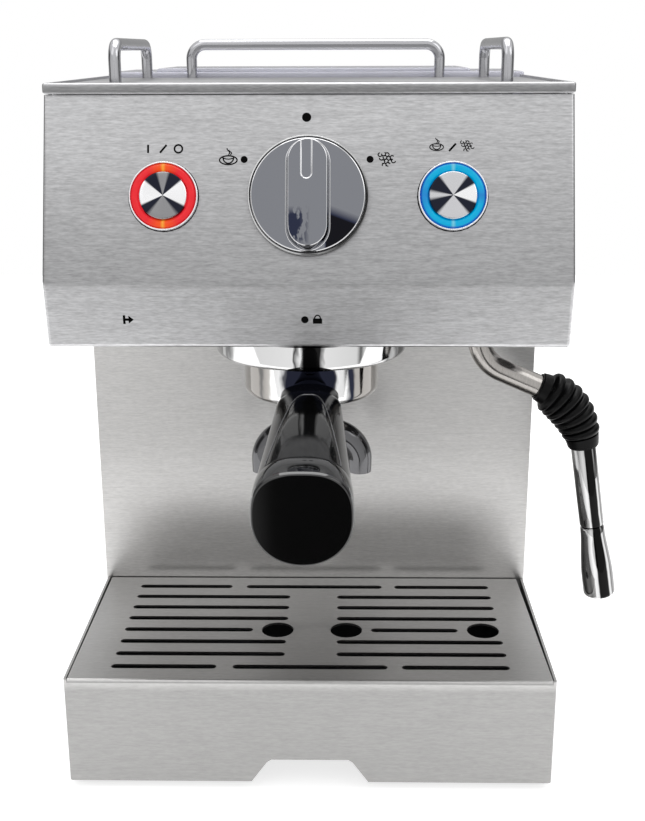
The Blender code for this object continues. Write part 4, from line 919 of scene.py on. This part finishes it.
def panel_marks():
    knob = panel_matrix(0.0)
    marks("position_dots", knob, fills=[dot(-0.0007, 0.0361, 0.0021), dot(-0.0290, 0.0169, 0.0016),
                                        dot(0.0281, 0.0169, 0.0016)])
    marks("brew_symbol", knob, cup_marks(-0.0362, 0.0166, 0.0040))
    marks("steam_symbol", knob, steam_marks(0.0351, 0.0167, 0.0032))
    mode = panel_matrix(BUTTON_X)
    marks("mode_symbols", mode, cup_marks(-0.0073, 0.0224,
                                          0.0031) + [([(-0.0017, 0.0206), (0.0014, 0.0240)], 0.0009)]
          + steam_marks(0.0061, 0.0228, 0.0025))
    power = panel_matrix(-BUTTON_X)
    switch = [([(-0.0072, 0.0199), (-0.0072, 0.0237)], 0.0009),
              ([(-0.0018, 0.0200), (0.0012, 0.0236)], 0.0009),
              (ring_points(0.0066, 0.0218, 0.0018, 0.0018), 0.0008)]
    marks("switch_symbols", power, switch)
    strip = strip_matrix(0.0, 0.0177)
    body = [(0.0022, -0.0019), (0.0064, -0.0019), (0.0064, 0.0006), (0.0022, 0.0006)]
    marks("lock_symbols", strip, [(ring_points(0.0043, 0.0006, 0.0013, 0.0016, 0, 180, 12), 0.0006)],
          [dot(-0.0015, 0.0, 0.0017), body])
    marks("insert_arrow", strip, [([(-0.0845, -0.0021), (-0.0845, 0.0021)], 0.0011),
                                  ([(-0.0845, 0.0), (-0.0820, 0.0)], 0.0012)],
          [[(-0.0825, 0.0019), (-0.0825, -0.0019), (-0.0801, 0.0)]])


# ---- CAD nodes that keep their shape ----
def dress_frame():
    looks = {
        "steel_panel": ["control_panel"],
        "steel": ["side_panel_left", "side_panel_right"],
        "steel_lid": ["top_lid"],
        "steel_column": ["column_panel"],
        "steel_warm": ["drip_tray_cover"],
        "black_plastic": ["base_plate", "head_floor", "rear_panel", "tank_bay", "drip_pan", "valve_seat",
                          "tank_valve"],
        "rubber": ["foot_front_left", "foot_front_right", "foot_rear_left", "foot_rear_right",
                   "group_gasket", "pump_mount",
                   "cord_gland"],
        "tank": ["water_tank"],
        "tank_lid": ["tank_lid"],
        "chrome": ["wand_swivel_nut"],
        "wand_steel": ["wand_tip_tube"],
        "spun": ["filter_basket", "shower_screen"],
        "brass": ["steam_valve", "pressure_valve"],
        "aluminium": ["brew_head", "boiler", "pump", "knob_shaft"],
        "board": ["control_board"],
        "hose": ["suction_hose", "pressure_hose", "steam_hose"],
    }
    for name, nodes in looks.items():
        for node in nodes:
            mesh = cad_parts[node].data
            mesh.materials.clear()
            mesh.materials.append(MATERIALS[name])


# ---- studio ----
def grey_ramp(tree, source, stops):
    ramp = tree.nodes.new("ShaderNodeValToRGB")
    points = ramp.color_ramp.elements
    while len(points) < len(stops):
        points.new(0.5)
    for point, (place, value) in zip(points, stops):
        point.position = place
        point.color = (value, value, value, 1.0)
    tree.links.new(source, ramp.inputs["Fac"])
    return ramp.outputs["Color"]


def world_light():
    """White to the camera; for reflections a room with soft boxes, dark gaps and a dark spot in front."""
    world = bpy.data.worlds.new("studio")
    bpy.context.scene.world = world
    world.use_nodes = True
    tree = world.node_tree
    tree.nodes.clear()

    def node(kind, **values):
        made = tree.nodes.new(kind)
        for key, value in values.items():
            setattr(made, key, value)
        return made

    def maths(operation, first, second, third=None):
        made = node("ShaderNodeMath", operation=operation)
        for slot, value in zip(made.inputs, (first, second, third)):
            if isinstance(value, (int, float)):
                slot.default_value = value
            elif value is not None:
                tree.links.new(value, slot)
        return made.outputs[0]

    split = node("ShaderNodeSeparateXYZ")
    tree.links.new(node("ShaderNodeTexCoord").outputs["Generated"], split.inputs[0])
    x, y, z = split.outputs
    around = maths("MULTIPLY_ADD", maths("ARCTAN2", x, maths("MULTIPLY", y, -1.0)), 0.5 / math.pi, 0.5)
    low = grey_ramp(tree, around, [
        (0.0, 0.45), (0.20, 0.50), (0.255, 0.10), (0.268, 0.90), (0.282, 0.12), (0.305, 0.95), (0.480, 1.0),
        (0.486, 0.02),
        (0.514, 0.02), (0.520, 1.0), (0.66, 0.90), (0.675, 0.08), (0.69, 0.85), (0.71, 0.06), (0.76, 0.35),
        (0.82, 0.50),
        (1.0, 0.45)])
    high = grey_ramp(tree, around, [
        (0.0, 0.40), (0.16, 0.45), (0.22, 0.08), (0.27, 0.12), (0.30, 0.80), (0.42, 0.85), (0.50, 1.0),
        (0.60, 0.90),
        (0.70, 0.80), (0.73, 0.12), (0.78, 0.08), (0.84, 0.45), (1.0, 0.40)])
    level = grey_ramp(tree, maths("MULTIPLY_ADD", z, 0.5, 0.5), [(0.47, 0.0), (0.52, 1.0)])
    roof = grey_ramp(tree, z, [(0.42, 0.0), (0.55, 1.0)])
    walls = node("ShaderNodeMix", data_type="RGBA")
    tree.links.new(level, walls.inputs[0])
    tree.links.new(low, walls.inputs[6])
    tree.links.new(high, walls.inputs[7])
    room = node("ShaderNodeMix", data_type="RGBA")
    tree.links.new(roof, room.inputs[0])
    tree.links.new(walls.outputs[2], room.inputs[6])
    room.inputs[7].default_value = (1.0, 1.0, 1.0, 1.0)
    reflected = node("ShaderNodeBackground")
    reflected.inputs["Strength"].default_value = 0.95
    tree.links.new(room.outputs[2], reflected.inputs["Color"])
    seen = node("ShaderNodeBackground")
    seen.inputs["Color"].default_value = (1.0, 1.0, 1.0, 1.0)
    pick = node("ShaderNodeMixShader")
    tree.links.new(node("ShaderNodeLightPath").outputs["Is Camera Ray"], pick.inputs[0])
    tree.links.new(reflected.outputs[0], pick.inputs[1])
    tree.links.new(seen.outputs[0], pick.inputs[2])
    tree.links.new(pick.outputs[0], node("ShaderNodeOutputWorld").inputs["Surface"])


def studio():
    world_light()
    lights = [("key", (-0.6, -0.7, 1.3), 0.8, 1.2), ("fill", (0.9, -0.5, 1.1), 0.7, 1.6),
              ("top", (0.0, 0.3, 1.6), 1.2, 12.0)]
    target = at(0.0, 0.08, 0.17)
    for name, place_at, size, power in lights:
        data = bpy.data.lights.new(name, "AREA")
        data.shape = "SQUARE"
        data.size = size
        data.energy = power
        lamp = bpy.data.objects.new(name, data)
        bpy.context.scene.collection.objects.link(lamp)
        lamp.location = place_at
        lamp.rotation_euler = (target - lamp.location).to_track_quat("-Z", "Y").to_euler()
    bm = bmesh.new()
    corners = ((-1.3, -0.36), (1.3, -0.36), (1.3, 1.3), (-1.3, 1.3))
    bm.faces.new([bm.verts.new((x, y, 0.0)) for x, y in corners])
    floor = to_object("floor", bm, "floor")
    bpy.context.scene.view_settings.view_transform = "Standard"


def floor_material():
    paper = Shader("studio_paper", (0.92, 0.92, 0.92), 0.0, 0.7)
    grain = paper.noise((6.0, 6.0, 6.0), 2.0)
    paper.to(paper.ramp(grain, [(0.3, 0.54), (0.7, 0.56)]), "Base Color")
    paper.set("Emission Color", (1.0, 1.0, 1.0, 1.0))
    paper.set("Emission Strength", 0.74)
    return paper.material


add_camera()
MATERIALS = make_materials()
MATERIALS["floor"] = floor_material()
dress_frame()
cup_rails()
brew_group()
portafilter()
steam_wand()
selector()
push_buttons()
panel_marks()
studio()
